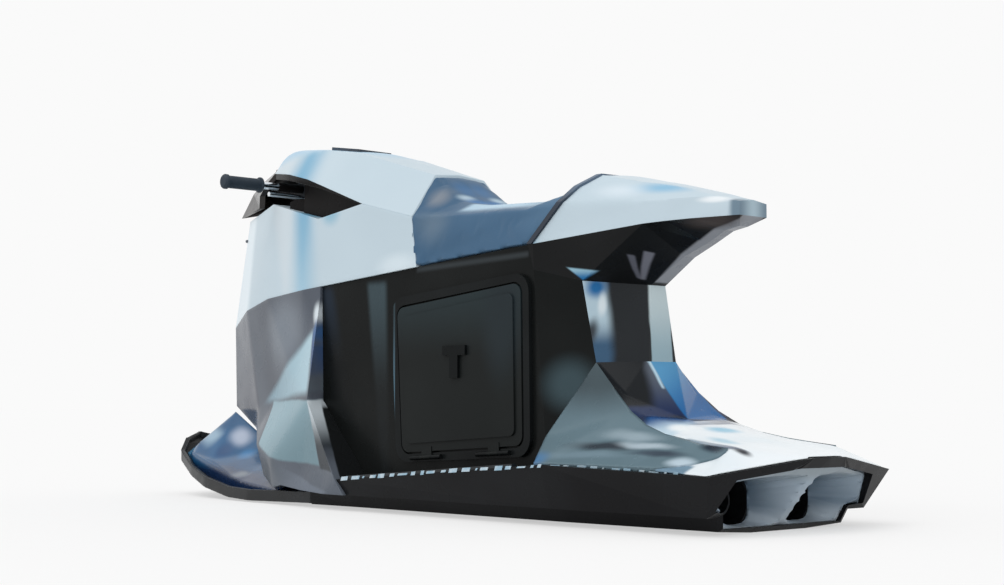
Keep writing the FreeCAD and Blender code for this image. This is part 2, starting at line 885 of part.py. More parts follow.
def hood_form():
    """The hood over the handlebar slot."""
    port = rings_from(
        BODY,
        "hood_notch slot_tip crown_0",
        "slot_tip crown_1 crown_0",
        "slot_tip slot_up_1 crown_1",
        "slot_up_1 slot_up_2 crown_1",
        "slot_up_2 slot_up_3 crown_2 crown_1",
        "slot_up_3 slot_up_4 crown_3 crown_2",
        "slot_up_4 hood_lip crown_3",
        "crown_0 crown_1 top_1 top_0",
        "crown_1 crown_2 top_2 top_1",
        "crown_2 crown_3 top_3 top_2",
        "crown_3 hood_lip top_3",
    )
    return across(port)


def seat_form():
    """The seat cushion between the hood and the tail cowl."""
    port = rings_from(
        BODY,
        "base_5 hood_notch seat_crease_front",
        "base_5 seat_crease_front seat_crease_dip seat_crease_mid",
        "base_5 seat_crease_mid seat_crease_rear seat_rear_low",
        "hood_notch crown_0 seat_wall_side seat_crease_front",
        "seat_crease_front seat_wall_side seat_foot_side",
        "seat_crease_front seat_foot_side seat_dip_side seat_crease_dip",
        "seat_crease_dip seat_dip_side seat_mid_side seat_crease_mid",
        "seat_crease_mid seat_mid_side seat_band seat_crease_rear",
        "seat_mid_side seat_top_side seat_band",
        "crown_0 top_0 seat_wall seat_wall_side",
        "seat_wall_side seat_wall seat_foot seat_foot_side",
        "seat_foot_side seat_foot seat_dip seat_dip_side",
        "seat_dip_side seat_dip seat_mid seat_mid_side",
        "seat_mid_side seat_mid seat_top seat_top_side",
    )
    return across(port)


TRIM_LINE = ("seat_rear_low", "seat_crease_rear", "seat_band", "seat_top_side", "seat_top")
TRIM_OUT_SHARES = (1.00, 1.00, 0.75, 0.50, 0.00)
TRIM_UP_SHARES = (0.00, 0.50, 0.75, 1.00, 1.00)


def tail_corner(name):
    """A corner of the seat's rear edge, on the tail's side of the band."""
    return shifted(BODY[name], -size("trim_width"), 0, 0)


def trim_form():
    """The raised band between the seat and the tail cowl."""
    proud = size("trim_proud")
    port = []
    sections = []
    for name, out, up in zip(TRIM_LINE, TRIM_OUT_SHARES, TRIM_UP_SHARES):
        front = BODY[name]
        rear = tail_corner(name)
        lift = PORT * (proud * out) + UPWARD * (proud * up)
        sections.append((front, front + lift, rear + lift, rear))
    port.append(list(sections[0]))
    for low, high in zip(sections, sections[1:]):
        for i in range(3):
            port.append([low[i], low[i + 1], high[i + 1], high[i]])
    return across(port)


def tail_form():
    """The pointed tail cowl behind the seat."""
    start = [tail_corner(name) for name in TRIM_LINE]
    port = rings_from(
        BODY,
        "tail_low_2 tail_low_3 tail_crease_3 tail_crease_2",
        "tail_low_3 tail_low_4 tail_crease_4 tail_crease_3",
        "tail_low_4 tail_end_low tail_end_top tail_crease_4",
        "tail_crease_2 tail_crease_3 tail_side_2 tail_side_1",
        "tail_crease_3 tail_crease_4 tail_side_2",
        "tail_crease_4 tail_end_top tail_side_2",
        "tail_side_1 tail_side_2 tail_ridge_2 tail_ridge_1",
        "tail_side_2 tail_end_top tail_end_ridge tail_ridge_3 tail_ridge_2",
    )
    port.append([start[0], BODY["tail_low_2"], BODY["tail_crease_2"], start[1]])
    port.append([start[1], BODY["tail_crease_2"], start[2]])
    port.append([start[2], BODY["tail_crease_2"], BODY["tail_side_1"], start[3]])
    port.append([start[3], BODY["tail_side_1"], BODY["tail_ridge_1"], start[4]])
    return across(port)


def underside_form():
    """The dark keeled underside of the tail, between the cowl and the trunk."""
    step = tail_corner("seat_rear_low")
    port = rings_from(
        BODY,
        "shoulder pillar_corner tail_low_2",
        "pillar_corner pillar_top keel_1",
        "pillar_corner keel_1 tail_low_2",
        "tail_low_2 keel_1 keel_2",
        "tail_low_2 keel_2 tail_low_3",
        "tail_low_3 keel_2 keel_3",
        "tail_low_3 keel_3 tail_low_4",
        "tail_low_4 keel_3 keel_4",
        "tail_low_4 keel_4 tail_end_low",
    )
    port.append([BODY["seat_rear_low"], step, BODY["shoulder"]])
    port.append([step, BODY["tail_low_2"], BODY["shoulder"]])
    return across(port)


def deck_form():
    """The bright aft deck: a spine that runs down from the pillar to the transom."""
    corners = dict(DECK)
    corners.update({
        "pillar": BODY["pillar_foot"],
        "pillar_centre": with_width(BODY["pillar_foot"], 0),
        "pillar_side": BODY["pillar_foot_corner"],
        "stern": HULL["transom_centre"],
        "stern_side": HULL["transom_top"],
        "rail": HULL["transom_rail"],
    })
    top = rings_from(
        corners,
        "pillar_centre ridge_1 pillar",
        "pillar ridge_1 spine_1",
        "pillar spine_1 pillar_side",
        "pillar_side spine_1 flow_0",
        "ridge_1 spine_2 spine_1",
        "spine_1 spine_2 flow_1 flow_0",
        "spine_2 flow_2 flow_1",
        "ridge_1 spine_3 spine_2",
        "spine_2 spine_3 flow_3 flow_2",
        "ridge_1 ridge_2 spine_3",
        "spine_3 ridge_2 flow_4 flow_3",
        "ridge_2 lip_2 lip_1 flow_4",
        "ridge_2 stern stern_side",
        "ridge_2 stern_side lip_2",
        "lip_2 stern_side rail",
        "lip_2 rail lip_3",
        "lip_3 rail lip_4",
        "lip_4 rail lip_5",
    )
    return columns(both_sides(top), HULL["fore_deck"].z)


def well_form():
    """The port footwell, a dark slope between the aft deck and the gunwale."""
    corners = dict(DECK)
    corners.update({
        "foot": BODY["foot"],
        "pillar_side": BODY["pillar_foot_corner"],
    })
    top = rings_from(
        corners,
        "foot pillar_side flow_0",
        "foot flow_0 flow_1",
        "foot flow_1 well_1",
        "flow_1 flow_2 well_1",
        "flow_2 well_2 well_1",
        "flow_2 flow_3 well_2",
        "flow_3 well_3 well_2",
        "flow_3 flow_4 well_3",
        "flow_4 lip_1 well_3",
        "lip_1 lip_4 lip_5 well_3",
        "lip_1 lip_2 lip_3 lip_4",
    )
    return columns(top, HULL["fore_deck"].z)


STRIP_END_SHARES = (0.12, 0.95)


def strip_form():
    """The port trim strip along the gunwale."""
    wide = size("strip_width")
    tall = size("strip_height")
    rail = [between(HULL["aft_rail"], HULL["fore_rail"], share) for share in STRIP_END_SHARES]
    sections = []
    for corner in rail:
        sections.append((corner, shifted(corner, 0, -wide, 0), shifted(corner, 0, -wide, tall),
                         shifted(corner, 0, 0, tall)))
    rings = [list(sections[0]), list(sections[1])]
    for i in range(4):
        rings.append([sections[0][i - 1], sections[0][i], sections[1][i], sections[1][i - 1]])
    return closed(rings)


# Where the dark core starts and ends along the slot's lower and upper edges
CORE_SHARES = {
    "aft": 0.30,
    "low_front": 0.45,
    "high_front": 0.48,
}


def core_form():
    """The dark core behind the handlebar slot, between the cowl and the hood."""
    low = [
        between(BODY["slot_tip"], BODY["slot_low_1"], CORE_SHARES["aft"]),
        BODY["slot_low_1"],
        between(BODY["slot_low_1"], BODY["slot_low_2"], CORE_SHARES["low_front"]),
    ]
    high = [
        between(BODY["slot_tip"], BODY["slot_up_1"], CORE_SHARES["aft"]),
        BODY["slot_up_1"],
        BODY["slot_up_2"],
        between(BODY["slot_up_2"], BODY["slot_up_3"], CORE_SHARES["high_front"]),
    ]
    ring = [with_width(corner, size("core_half")) for corner in low + high[::-1]]
    return across([ring])


VISOR_SIDE_SHARE = 0.8
BODY["visor_root"] = between(BODY["hood_lip"], BODY["slot_up_4"], VISOR_SIDE_SHARE)
VISOR_CENTRE = ("hood_lip", "visor_top", "visor_bend", "visor_tip")
VISOR_EDGE = ("visor_root", "visor_side_top", "visor_side_bend", "visor_side")


def visor_form():
    """The dark beak that closes the slot at the front."""
    centre = [BODY[name] for name in VISOR_CENTRE]
    edge = [BODY[name] for name in VISOR_EDGE]
    centre_in = [shifted(corner, -size("visor_depth"), 0, 0) for corner in centre]
    edge_in = [shifted(corner, -size("visor_depth"), -size("visor_wall"), 0) for corner in edge]
    port = []
    for i in range(len(centre) - 1):
        port.append([centre[i], centre[i + 1], edge[i + 1], edge[i]])
        port.append([centre_in[i], centre_in[i + 1], edge_in[i + 1], edge_in[i]])
        port.append([edge[i], edge[i + 1], edge_in[i + 1], edge_in[i]])
    for i in (0, len(centre) - 1):
        port.append([centre[i], edge[i], edge_in[i], centre_in[i]])
    return across(port)


# Hull pieces

hull_raw = feature("hull_raw", hull_form())
prow_raw = feature("prow_raw", prow_form())
pan_space = feature("pan_space", pan_shadow())
deck_space = feature("deck_space", deck_shadow())
recess = feature("recess", recess_form())
flare_left = feature("flare_left", flare_form())
flare_right = mirror_of(flare_left, "flare_right")
liner_raw = feature("liner_raw", liner_block())

# Where the port jet's line lies, and the half length
JET_Y = "sizes.jet_spread / 2"
HALF = "sizes.overall_length / 2"


def placed(piece, along, out, up, turn=None):
    """Binds a piece's place to expressions and gives it a turn."""
    bound(piece, Placement__Base__x=along, Placement__Base__y=out, Placement__Base__z=up)
    if turn is not None:
        piece.Placement.Rotation = turn
    return piece


AHEAD = FreeCAD.Rotation(PORT, 90)


def jet_cylinder(label, radius, start, end):
    """A cylinder on the port jet's line, between two stations from the stern."""
    piece = primitive("Cylinder", label, Radius=radius, Height="%s - (%s)" % (end, start))
    return placed(piece, "%s - %s" % (start, HALF), JET_Y, "sizes.jet_height", AHEAD)


def jet_cone(label, rear_radius, front_radius, start, end):
    """A cone on the port jet's line, between two stations from the stern."""
    piece = primitive("Cone", label, Radius1=rear_radius, Radius2=front_radius,
                      Height="%s - (%s)" % (end, start))
    return placed(piece, "%s - %s" % (start, HALF), JET_Y, "sizes.jet_height", AHEAD)


def motor_box(label):
    """The plain block that stands for the port motor."""
    piece = primitive("Box", label, Length="sizes.motor_length", Width="sizes.motor_width",
                      Height="sizes.motor_height")
    return placed(piece, "sizes.motor_station - " + HALF, JET_Y + " - sizes.motor_width / 2",
                  "sizes.motor_floor")


INTAKE_CORNERS = (
    ("sizes.tunnel_end - " + HALF, "sizes.duct_height"),
    ("sizes.tunnel_end - " + HALF, "sizes.duct_lip"),
    ("sizes.intake_start - " + HALF, "0 * sizes.overrun"),
    ("sizes.intake_start - " + HALF, "-sizes.overrun"),
    ("sizes.intake_end - " + HALF, "-sizes.overrun"),
    ("sizes.intake_end - " + HALF, "0 * sizes.overrun"),
    ("sizes.duct_throat - " + HALF, "sizes.duct_height"),
)

tunnel = jet_cylinder("tunnel", "sizes.tunnel_radius", "sizes.recess_end - sizes.overrun",
                      "sizes.tunnel_end")
duct = plate("duct", "XZ_Plane", INTAKE_CORNERS, "sizes.duct_width")
bound(duct, Placement__Base__y=JET_Y)
shaft_way = jet_cylinder("shaft_way", "sizes.shaft_radius + sizes.shaft_clearance",
                         "sizes.tunnel_end", "sizes.motor_station + sizes.overrun")
motor_room = motor_box("motor_room")
motor_rooms = [motor_room, mirror_of(motor_room, "motor_room_right")]
hull_tools = [recess]
for space in (tunnel, duct, shaft_way):
    hull_tools += [space, mirror_of(space, space.Label + "_right")]
hull_shell = combined("Cut", "hull_shell", hull_raw, *hull_tools, *motor_rooms)
stern_liner = combined("Cut", "stern_liner", liner_raw, flare_left, flare_right)

rim_left = feature("bow_rim_left", rim_form())
rim_right = mirror_of(rim_left, "bow_rim_right")

# Upper pieces

trunk_raw = feature("trunk_raw", trunk_form())
fairing_raw = feature("fairing_raw", fairing_form())
cowl_raw = feature("cowl_raw", cowl_form())
hood = feature("cowl_hood", hood_form())
seat = feature("seat_cushion", seat_form())
trim = feature("seat_trim", trim_form())
tail = feature("tail_cowl", tail_form())
underside = feature("tail_underside", underside_form())
pillar = feature("rear_pillar", pillar_form())
core = feature("slot_core", core_form())
visor_raw = feature("visor_raw", visor_form())
deck_raw = feature("deck_raw", deck_form())
well_raw = feature("well_raw", well_form())
strip_left = feature("gunwale_strip_left", strip_form())
strip_right = mirror_of(strip_left, "gunwale_strip_right")

front_fairing = combined("Cut", "front_fairing", fairing_raw, hull_raw, trunk_raw, rim_left,
                         rim_right)
prow_cap = combined("Cut", "prow_cap", prow_raw, hull_raw, pan_space, fairing_raw, trunk_raw,
                    rim_left, rim_right)
aft_deck = combined("Cut", "aft_deck", deck_raw, deck_space, trunk_raw, pillar)
footwell_left = combined("Cut", "footwell_left", well_raw, deck_space, trunk_raw, deck_raw)
footwell_right = mirror_of(footwell_left, "footwell_right")
visor = combined("Cut", "visor", visor_raw, hood, cowl_raw)

# Battery bay, its opening on each side, and the battery

FOOT_SHARE = BODY_SHARES["foot"][0] - 0.5
SADDLE_SHARE = BODY_SHARES["base_5"][2]
SADDLE = "%s * sizes.top_height" % SADDLE_SHARE
HATCH_AFT = "(%s * sizes.overall_length + sizes.hatch_setback)" % FOOT_SHARE
HATCH_HEAD = "(%s - sizes.hatch_headroom)" % SADDLE
BAY_HEIGHT = "(%s - sizes.bay_headroom - sizes.bay_sill)" % SADDLE
bay = primitive("Box", "bay", Length="sizes.bay_length",
                Width="2 * (sizes.trunk_half - sizes.trunk_wall)", Height=BAY_HEIGHT)
placed(bay, HATCH_AFT, "sizes.trunk_wall - sizes.trunk_half", "sizes.bay_sill")


def hatch_corners(grow):
    """The four corners of the hatch's outline, moved out by an expression."""
    fore = "(%s + sizes.hatch_length)" % HATCH_AFT
    return (
        ("%s - (%s)" % (HATCH_AFT, grow),
         "sizes.hatch_sill + sizes.hatch_sill_rise - (%s)" % grow),
        ("%s + (%s)" % (fore, grow), "sizes.hatch_sill - (%s)" % grow),
        ("%s + sizes.hatch_lean + (%s)" % (fore, grow), "%s + (%s)" % (HATCH_HEAD, grow)),
        ("%s + sizes.hatch_aft_lean - (%s)" % (HATCH_AFT, grow),
         "%s + sizes.hatch_head_rise + (%s)" % (HATCH_HEAD, grow)),
    )


door_way = plate("door_way", "XZ_Plane", hatch_corners("-sizes.hatch_seat"),
                 "2 * (sizes.trunk_half + sizes.overrun)")
rounded(door_way, "sizes.hatch_corner - sizes.hatch_seat / 2", PORT)
trunk_shell = combined("Cut", "trunk_shell", trunk_raw, bay, door_way, hull_raw, *motor_rooms)

battery = primitive("Box", "battery_pack", Length="sizes.battery_length",
                    Width="sizes.battery_width",
                    Height=BAY_HEIGHT + " - sizes.battery_headroom")
placed(battery, HATCH_AFT + " + (sizes.bay_length - sizes.battery_length) / 2",
       "-sizes.battery_width / 2", "sizes.bay_sill")


def side_plate(label, grow, thickness, start, corner):
    """A plate of the hatch's outline that starts at a distance from the centre line."""
    body = plate(label, "XZ_Plane", hatch_corners(grow), thickness)
    rounded(body, corner, PORT)
    bound(body, Placement__Base__y="%s + (%s) / 2" % (start, thickness))
    return body


FACE = "(sizes.trunk_half + sizes.hatch_seat_gap)"
frame_block = side_plate("frame_block", "sizes.hatch_gap + sizes.frame_width",
                         "sizes.frame_thickness", "sizes.trunk_half",
                         "sizes.hatch_corner + sizes.frame_width")
frame_hole = side_plate("frame_hole", "sizes.hatch_gap",
                        "sizes.frame_thickness + 2 * sizes.overrun",
                        "sizes.trunk_half - sizes.overrun",
                        "sizes.hatch_corner + sizes.hatch_gap")
hatch_plate = side_plate("hatch_plate", "0 * sizes.hatch_gap", "sizes.hatch_thickness", FACE,
                         "sizes.hatch_corner")
hatch_panel = side_plate("hatch_panel", "-sizes.panel_inset", "sizes.panel_rise",
                         FACE + " + sizes.hatch_thickness",
                         "sizes.hatch_corner - sizes.panel_inset / 3")

# Hinge of the hatch, along its sill

HINGE_SHARES = (0.22, 0.78)
HINGE_TILT = "atan(sizes.hatch_sill_rise / sizes.hatch_length)"
HINGE_PITCH = "(sizes.knuckle_length + sizes.knuckle_gap)"
HINGE_OUT = "(sizes.trunk_half + sizes.frame_thickness + sizes.knuckle_radius)"
HINGE_DROP = "(sizes.hatch_gap + sizes.frame_width / 2)"
TILT = FreeCAD.Rotation(PORT, evaluated(HINGE_TILT))
FORWARD_TILT = FreeCAD.Rotation(PORT, 90 + evaluated(HINGE_TILT))


def hinge_place(share, step, along, up):
    """A point by the hinge: at a share of the sill, some knuckles and two moves from it."""
    reach = "(%s * %s + (%s))" % (step, HINGE_PITCH, along)
    x = "%s + %s * sizes.hatch_length + %s * cos(%s)" % (HATCH_AFT, share, reach, HINGE_TILT)
    z = "sizes.hatch_sill + (1 - %s) * sizes.hatch_sill_rise - %s - %s * sin(%s) + (%s)" % (
        share, HINGE_DROP, reach, HINGE_TILT, up)
    return x, z


def knuckle(label, share, step):
    """One hinge knuckle, some knuckles along the hinge line from a hinge's centre."""
    piece = primitive("Cylinder", label, Radius="sizes.knuckle_radius",
                      Height="sizes.knuckle_length")
    x, z = hinge_place(share, step, "-sizes.knuckle_length / 2", "0 * sizes.overrun")
    return placed(piece, x, HINGE_OUT, z, FORWARD_TILT)


def leaf(label, share):
    """The thin leaf that joins the hatch's face to its knuckle."""
    piece = primitive("Box", label, Length="sizes.knuckle_length",
                      Width="sizes.leaf_thickness",
                      Height=HINGE_DROP + " + sizes.panel_inset / 2")
    x, z = hinge_place(share, 0, "-sizes.knuckle_length / 2", "0 * sizes.overrun")
    return placed(piece, x, FACE + " + sizes.hatch_thickness", z, TILT)


def knuckle_seat(label, share, step):
    """The block that carries one of the frame's knuckles."""
    piece = primitive("Box", label, Length="sizes.knuckle_length",
                      Width="sizes.knuckle_radius", Height="sizes.knuckle_radius")
    x, z = hinge_place(share, step, "-sizes.knuckle_length / 2", "-sizes.knuckle_radius / 2")
    return placed(piece, x, "sizes.trunk_half + sizes.frame_thickness", z, TILT)


moving_knuckles = []
fixed_knuckles = []
for number, share in enumerate(HINGE_SHARES, start=1):
    moving_knuckles += [knuckle("hatch_knuckle_%d" % number, share, 0),
                        leaf("hatch_leaf_%d" % number, share)]
    for end, step in (("aft", -1), ("fore", 1)):
        name = "%s_%d" % (end, number)
        fixed_knuckles += [knuckle("frame_knuckle_" + name, share, step),
                           knuckle_seat("frame_seat_" + name, share, step)]
frame_ring = combined("Cut", "frame_ring", frame_block, frame_hole)
frame_left = combined("Fuse", "hatch_frame_left", frame_ring, *fixed_knuckles)
frame_right = mirror_of(frame_left, "hatch_frame_right")
hatch_left = combined("Fuse", "hatch_left", hatch_plate, hatch_panel, *moving_knuckles)
hatch_right = mirror_of(hatch_left, "hatch_right")

# Latch handle, a T in the middle of the hatch

LATCH_X = "(%s + sizes.hatch_length / 2 + sizes.hatch_lean / 2)" % HATCH_AFT
LATCH_Z = ("((sizes.hatch_sill + %s + sizes.hatch_head_rise) / 2 + sizes.latch_rise)"
           % HATCH_HEAD)


def latch_corners():
    """The outline of the T handle."""
    half = "sizes.latch_width / 2"
    head = "sizes.latch_head / 2"
    reach = "sizes.latch_length / 2"
    bar = "sizes.latch_head_height"
    points = (
        ("-" + half, "-" + reach), (half, "-" + reach), (half, "%s - %s" % (reach, bar)),
        (head, "%s - %s" % (reach, bar)), (head, reach), ("-" + head, reach),
        ("-" + head, "%s - %s" % (reach, bar)), ("-" + half, "%s - %s" % (reach, bar)),
    )
    return [("%s + %s" % (LATCH_X, x), "%s + %s" % (LATCH_Z, z)) for x, z in points]


latch_left = plate("latch_handle_left", "XZ_Plane", latch_corners(), "sizes.latch_thickness")
bound(latch_left, Placement__Base__y=FACE + " + sizes.hatch_thickness + sizes.panel_rise"
      " + sizes.latch_thickness / 2")
latch_right = mirror_of(latch_left, "latch_handle_right")

# Pump and motor

PUMP_END = "(sizes.tunnel_end - sizes.pump_length)"
BALL = "(%s + sizes.nozzle_overlap)" % PUMP_END
BALL_RADIUS = "(sizes.pump_bore - sizes.ball_gap)"
PUMP_RADIUS = "(sizes.pump_bore + sizes.pump_wall)"

barrel = jet_cylinder("pump_barrel", PUMP_RADIUS, PUMP_END, "sizes.tunnel_end")
pump_bore = jet_cylinder("pump_bore", "sizes.pump_bore", PUMP_END + " - sizes.overrun",
                         "sizes.tunnel_end + sizes.overrun")
pin_holes = primitive("Cylinder", "pin_holes", Radius="sizes.pin_radius + sizes.pin_fit",
                      Height="2 * (sizes.pump_bore + sizes.overrun)")
placed(pin_holes, "%s - %s" % (BALL, HALF), JET_Y,
       "sizes.jet_height - sizes.pump_bore - sizes.overrun")
pump = combined("Cut", "jet_pump_left", barrel, pump_bore, pin_holes)

motor_block = motor_box("motor_block")
journal = jet_cylinder("journal", "sizes.shaft_radius + sizes.shaft_fit",
                       "sizes.motor_station - sizes.overrun",
                       "sizes.motor_station + sizes.motor_shaft_bore")
motor = combined("Cut", "motor_left", motor_block, journal)

# Steering nozzle: a ball collar inside the pump's end, a cone and the pivot pins

ball = primitive("Sphere", "nozzle_ball", Radius=BALL_RADIUS)
placed(ball, "%s - %s" % (BALL, HALF), JET_Y, "sizes.jet_height")
ball_band = jet_cylinder("nozzle_band", "sizes.pump_bore", BALL + " - sizes.nozzle_shoulder",
                         BALL + " + sizes.nozzle_nose")
collar = combined("Common", "nozzle_collar", ball, ball_band)
cone = jet_cone("nozzle_cone", "sizes.nozzle_exit + sizes.nozzle_wall",
                "sqrt(%s ^ 2 - sizes.nozzle_shoulder ^ 2)" % BALL_RADIUS,
                BALL + " - sizes.nozzle_reach", BALL + " - sizes.nozzle_shoulder")
pins = primitive("Cylinder", "nozzle_pins", Radius="sizes.pin_radius",
                 Height="2 * " + PUMP_RADIUS)
placed(pins, "%s - %s" % (BALL, HALF), JET_Y, "sizes.jet_height - " + PUMP_RADIUS)
nozzle_bore = jet_cone("nozzle_bore", "sizes.nozzle_exit",
                       BALL_RADIUS + " - 1.5 * sizes.nozzle_wall",
                       BALL + " - sizes.nozzle_reach", BALL + " + sizes.nozzle_nose")
nozzle_outer = combined("Fuse", "nozzle_outer", collar, cone, pins)
nozzle = combined("Cut", "nozzle_left", nozzle_outer, nozzle_bore)

# Impeller on its shaft, which ends inside the motor

BLADES = 5
TIP = "(sizes.pump_bore - sizes.blade_gap)"
HUB_END = "(sizes.hub_station + sizes.hub_length)"
hub = jet_cylinder("hub", "sizes.hub_radius", "sizes.hub_station", HUB_END)
hub_tail = jet_cone("hub_tail", "sizes.hub_radius / 3", "sizes.hub_radius",
                    "sizes.hub_station - sizes.hub_length / 2", "sizes.hub_station")
shaft = jet_cylinder("shaft", "sizes.shaft_radius", "sizes.hub_station",
                     "sizes.motor_station + sizes.motor_shaft_bore - sizes.shaft_end_gap")
BLADE_CORNERS = (
    ("-sizes.blade_chord / 2", "-sizes.blade_pitch / 2 - sizes.blade_thickness / 2"),
    ("sizes.blade_chord / 2", "sizes.blade_pitch / 2 - sizes.blade_thickness / 2"),
    ("sizes.blade_chord / 2", "sizes.blade_pitch / 2 + sizes.blade_thickness / 2"),
    ("-sizes.blade_chord / 2", "-sizes.blade_pitch / 2 + sizes.blade_thickness / 2"),
)
blades = []
for number in range(BLADES):
    blade = plate("blade_%d" % (number + 1), "XY_Plane", BLADE_CORNERS, TIP)
    blade.Tip.Midplane = False
    placed(blade, "sizes.hub_station + sizes.hub_length / 2 - " + HALF, JET_Y,
           "sizes.jet_height", FreeCAD.Rotation(FORWARD, FULL_TURN * number / BLADES))
    blades.append(blade)
blade_star = combined("Fuse", "blade_star", *blades)
blade_reach = jet_cylinder("blade_reach", TIP, "sizes.hub_station", HUB_END)
blades_cut = combined("Common", "blades", blade_star, blade_reach)
impeller = combined("Fuse", "impeller_left", hub, hub_tail, shaft, blades_cut)

# Slotted grate over the water intake, trimmed to the hull's bottom

GRATE_SLOTS = 5
SLOT_PITCH = "(sizes.duct_width - sizes.grate_bar) / %d" % GRATE_SLOTS
grate_plate = primitive("Box", "grate_plate", Length="sizes.intake_end - sizes.intake_start",
                        Width="sizes.duct_width", Height="sizes.grate_thickness")
placed(grate_plate, "sizes.intake_start - " + HALF, JET_Y + " - sizes.duct_width / 2",
       "0 * sizes.overrun")
slots = []
for number in range(GRATE_SLOTS):
    slot = primitive("Box", "grate_slot_%d" % (number + 1),
                     Length="sizes.intake_end - sizes.intake_start - 4 * sizes.grate_bar",
                     Width=SLOT_PITCH + " - sizes.grate_bar",
                     Height="sizes.grate_thickness + 2 * sizes.overrun")
    placed(slot, "sizes.intake_start + 2 * sizes.grate_bar - " + HALF,
           "%s - sizes.duct_width / 2 + sizes.grate_bar + %d * %s" % (JET_Y, number, SLOT_PITCH),
           "-sizes.overrun")
    slots.append(slot)
grate_trimmed = combined("Common", "grate_trimmed", grate_plate, hull_raw)
grate_slotted = combined("Cut", "grate_slotted", grate_trimmed, *slots)
grate = combined("Cut", "intake_grate_left", grate_slotted, hull_shell)

# Steering: the column leans aft by its rake, and the bar crosses its top

BAR_SILL_SHARE = 0.94


def sill_share(axis):
    """The share of an axis at which the bar crosses the slot's lower edge."""
    rear = BODY_SHARES["slot_low_1"][axis]
    front = BODY_SHARES["slot_low_2"][axis]
    return rear + (front - rear) * BAR_SILL_SHARE


BAR_X = "(%s * sizes.overall_length)" % (sill_share(0) - 0.5)
BAR_Z = "(%s * sizes.top_height + sizes.bar_rise)" % sill_share(2)
RAKE = FreeCAD.Rotation(PORT, -size("column_rake"))
ALONG_BAR = FreeCAD.Rotation(FORWARD, 90)


def raked(along, up):
    """A point moved from the bar's centre, forward and up in the column's own lean."""
    x = "%s + (%s) * cos(sizes.column_rake) - (%s) * sin(sizes.column_rake)" % (BAR_X, along, up)
    z = "%s + (%s) * sin(sizes.column_rake) + (%s) * cos(sizes.column_rake)" % (BAR_Z, along, up)
    return x, z


def column_cylinder(label, radius, drop):
    """A cylinder on the steering axis, from below the bar to the bar."""
    piece = primitive("Cylinder", label, Radius=radius, Height=drop)
    x, z = raked("0 * sizes.overrun", "-(%s)" % drop)
    return placed(piece, x, "0 * sizes.overrun", z, RAKE)


def bar_cylinder(label, radius, inner, outer, drop="0 * sizes.overrun"):
    """A cylinder along the bar, between two distances from the centre line."""
    piece = primitive("Cylinder", label, Radius=radius, Height="%s - (%s)" % (outer, inner))
    x, z = raked("0 * sizes.overrun", "-(%s)" % drop)
    return placed(piece, x, outer, z, ALONG_BAR)


COLUMN_DROP = "(sizes.bar_rise + sizes.column_depth)"
column_bore = column_cylinder("column_bore", "sizes.column_radius + sizes.shaft_fit",
                              COLUMN_DROP)
cowl_lower = combined("Cut", "cowl_lower", cowl_raw, column_bore)
stem = column_cylinder("column_stem", "sizes.column_radius",
                       COLUMN_DROP + " - sizes.knuckle_gap")
clamp = primitive("Box", "bar_clamp", Length="sizes.clamp_width", Width="sizes.clamp_length",
                  Height="sizes.clamp_height")
clamp_x, clamp_z = raked("-sizes.clamp_width / 2", "-sizes.clamp_height / 2")
placed(clamp, clamp_x, "-sizes.clamp_length / 2", clamp_z, RAKE)
handlebar = bar_cylinder("handlebar_tube", "sizes.bar_radius", "-sizes.bar_half",
                         "sizes.bar_half")
BRACE_HALF = "(sizes.bar_half - sizes.grip_length - sizes.brace_end_gap)"
brace_rod = bar_cylinder("brace_rod", "sizes.brace_radius", "-" + BRACE_HALF, BRACE_HALF,
                         "sizes.brace_drop")
brace = combined("Cut", "bar_brace", brace_rod, clamp, stem)
column_solid = combined("Fuse", "column_solid", clamp, stem)
column = combined("Cut", "steering_column", column_solid, handlebar)

# Port grip: a rubber sleeve with a flange at each end

GRIP_START = "(sizes.bar_half - sizes.grip_length)"
sleeve = bar_cylinder("grip_sleeve", "sizes.grip_radius", GRIP_START, "sizes.bar_half")
inner_flange = bar_cylinder("grip_inner_flange", "sizes.flange_radius", GRIP_START,
                            GRIP_START + " + sizes.flange_width")
outer_flange = bar_cylinder("grip_outer_flange", "sizes.flange_radius",
                            "sizes.bar_half - sizes.flange_width",
                            "(sizes.bar_half + sizes.flange_width)")
grip_hole = bar_cylinder("grip_hole", "sizes.bar_radius + sizes.grip_gap",
                         GRIP_START + " - sizes.overrun", "sizes.bar_half")
grip_solid = combined("Fuse", "grip_solid", sleeve, inner_flange, outer_flange)
grip_left = combined("Cut", "grip_left", grip_solid, grip_hole)

# Display on top of the hood, facing the rider

DISPLAY_SHARES = (0.35, 0.90)
DISPLAY_ENDS = [between(BODY["top_1"], BODY["top_2"], share) for share in DISPLAY_SHARES]
DISPLAY_LINE = DISPLAY_ENDS[1] - DISPLAY_ENDS[0]
display_raw = primitive("Box", "display_raw", Width="2 * sizes.display_half",
                        Height="sizes.display_thickness + sizes.overrun")
display_raw.Length = DISPLAY_LINE.Length
DISPLAY_LEAN = FreeCAD.Rotation(FORWARD, DISPLAY_LINE)
display_raw.Placement = FreeCAD.Placement(
    DISPLAY_ENDS[0] + DISPLAY_LEAN.multVec(Vector(0, -size("display_half"), -size("overrun"))),
    DISPLAY_LEAN)
display = combined("Cut", "dash_display", display_raw, hood)

# Knob on the cowl's front

KNOB_SHARE = 0.817
knob_centre = between(BODY["front_top"], BODY["slot_front"], KNOB_SHARE)
knob_raw = primitive("Cylinder", "knob_raw", Radius="sizes.knob_radius",
                     Height="sizes.knob_length + sizes.overrun")
knob_raw.Placement = FreeCAD.Placement(knob_centre - FORWARD * size("overrun"), AHEAD)
knob = combined("Cut", "front_knob", knob_raw, cowl_raw)

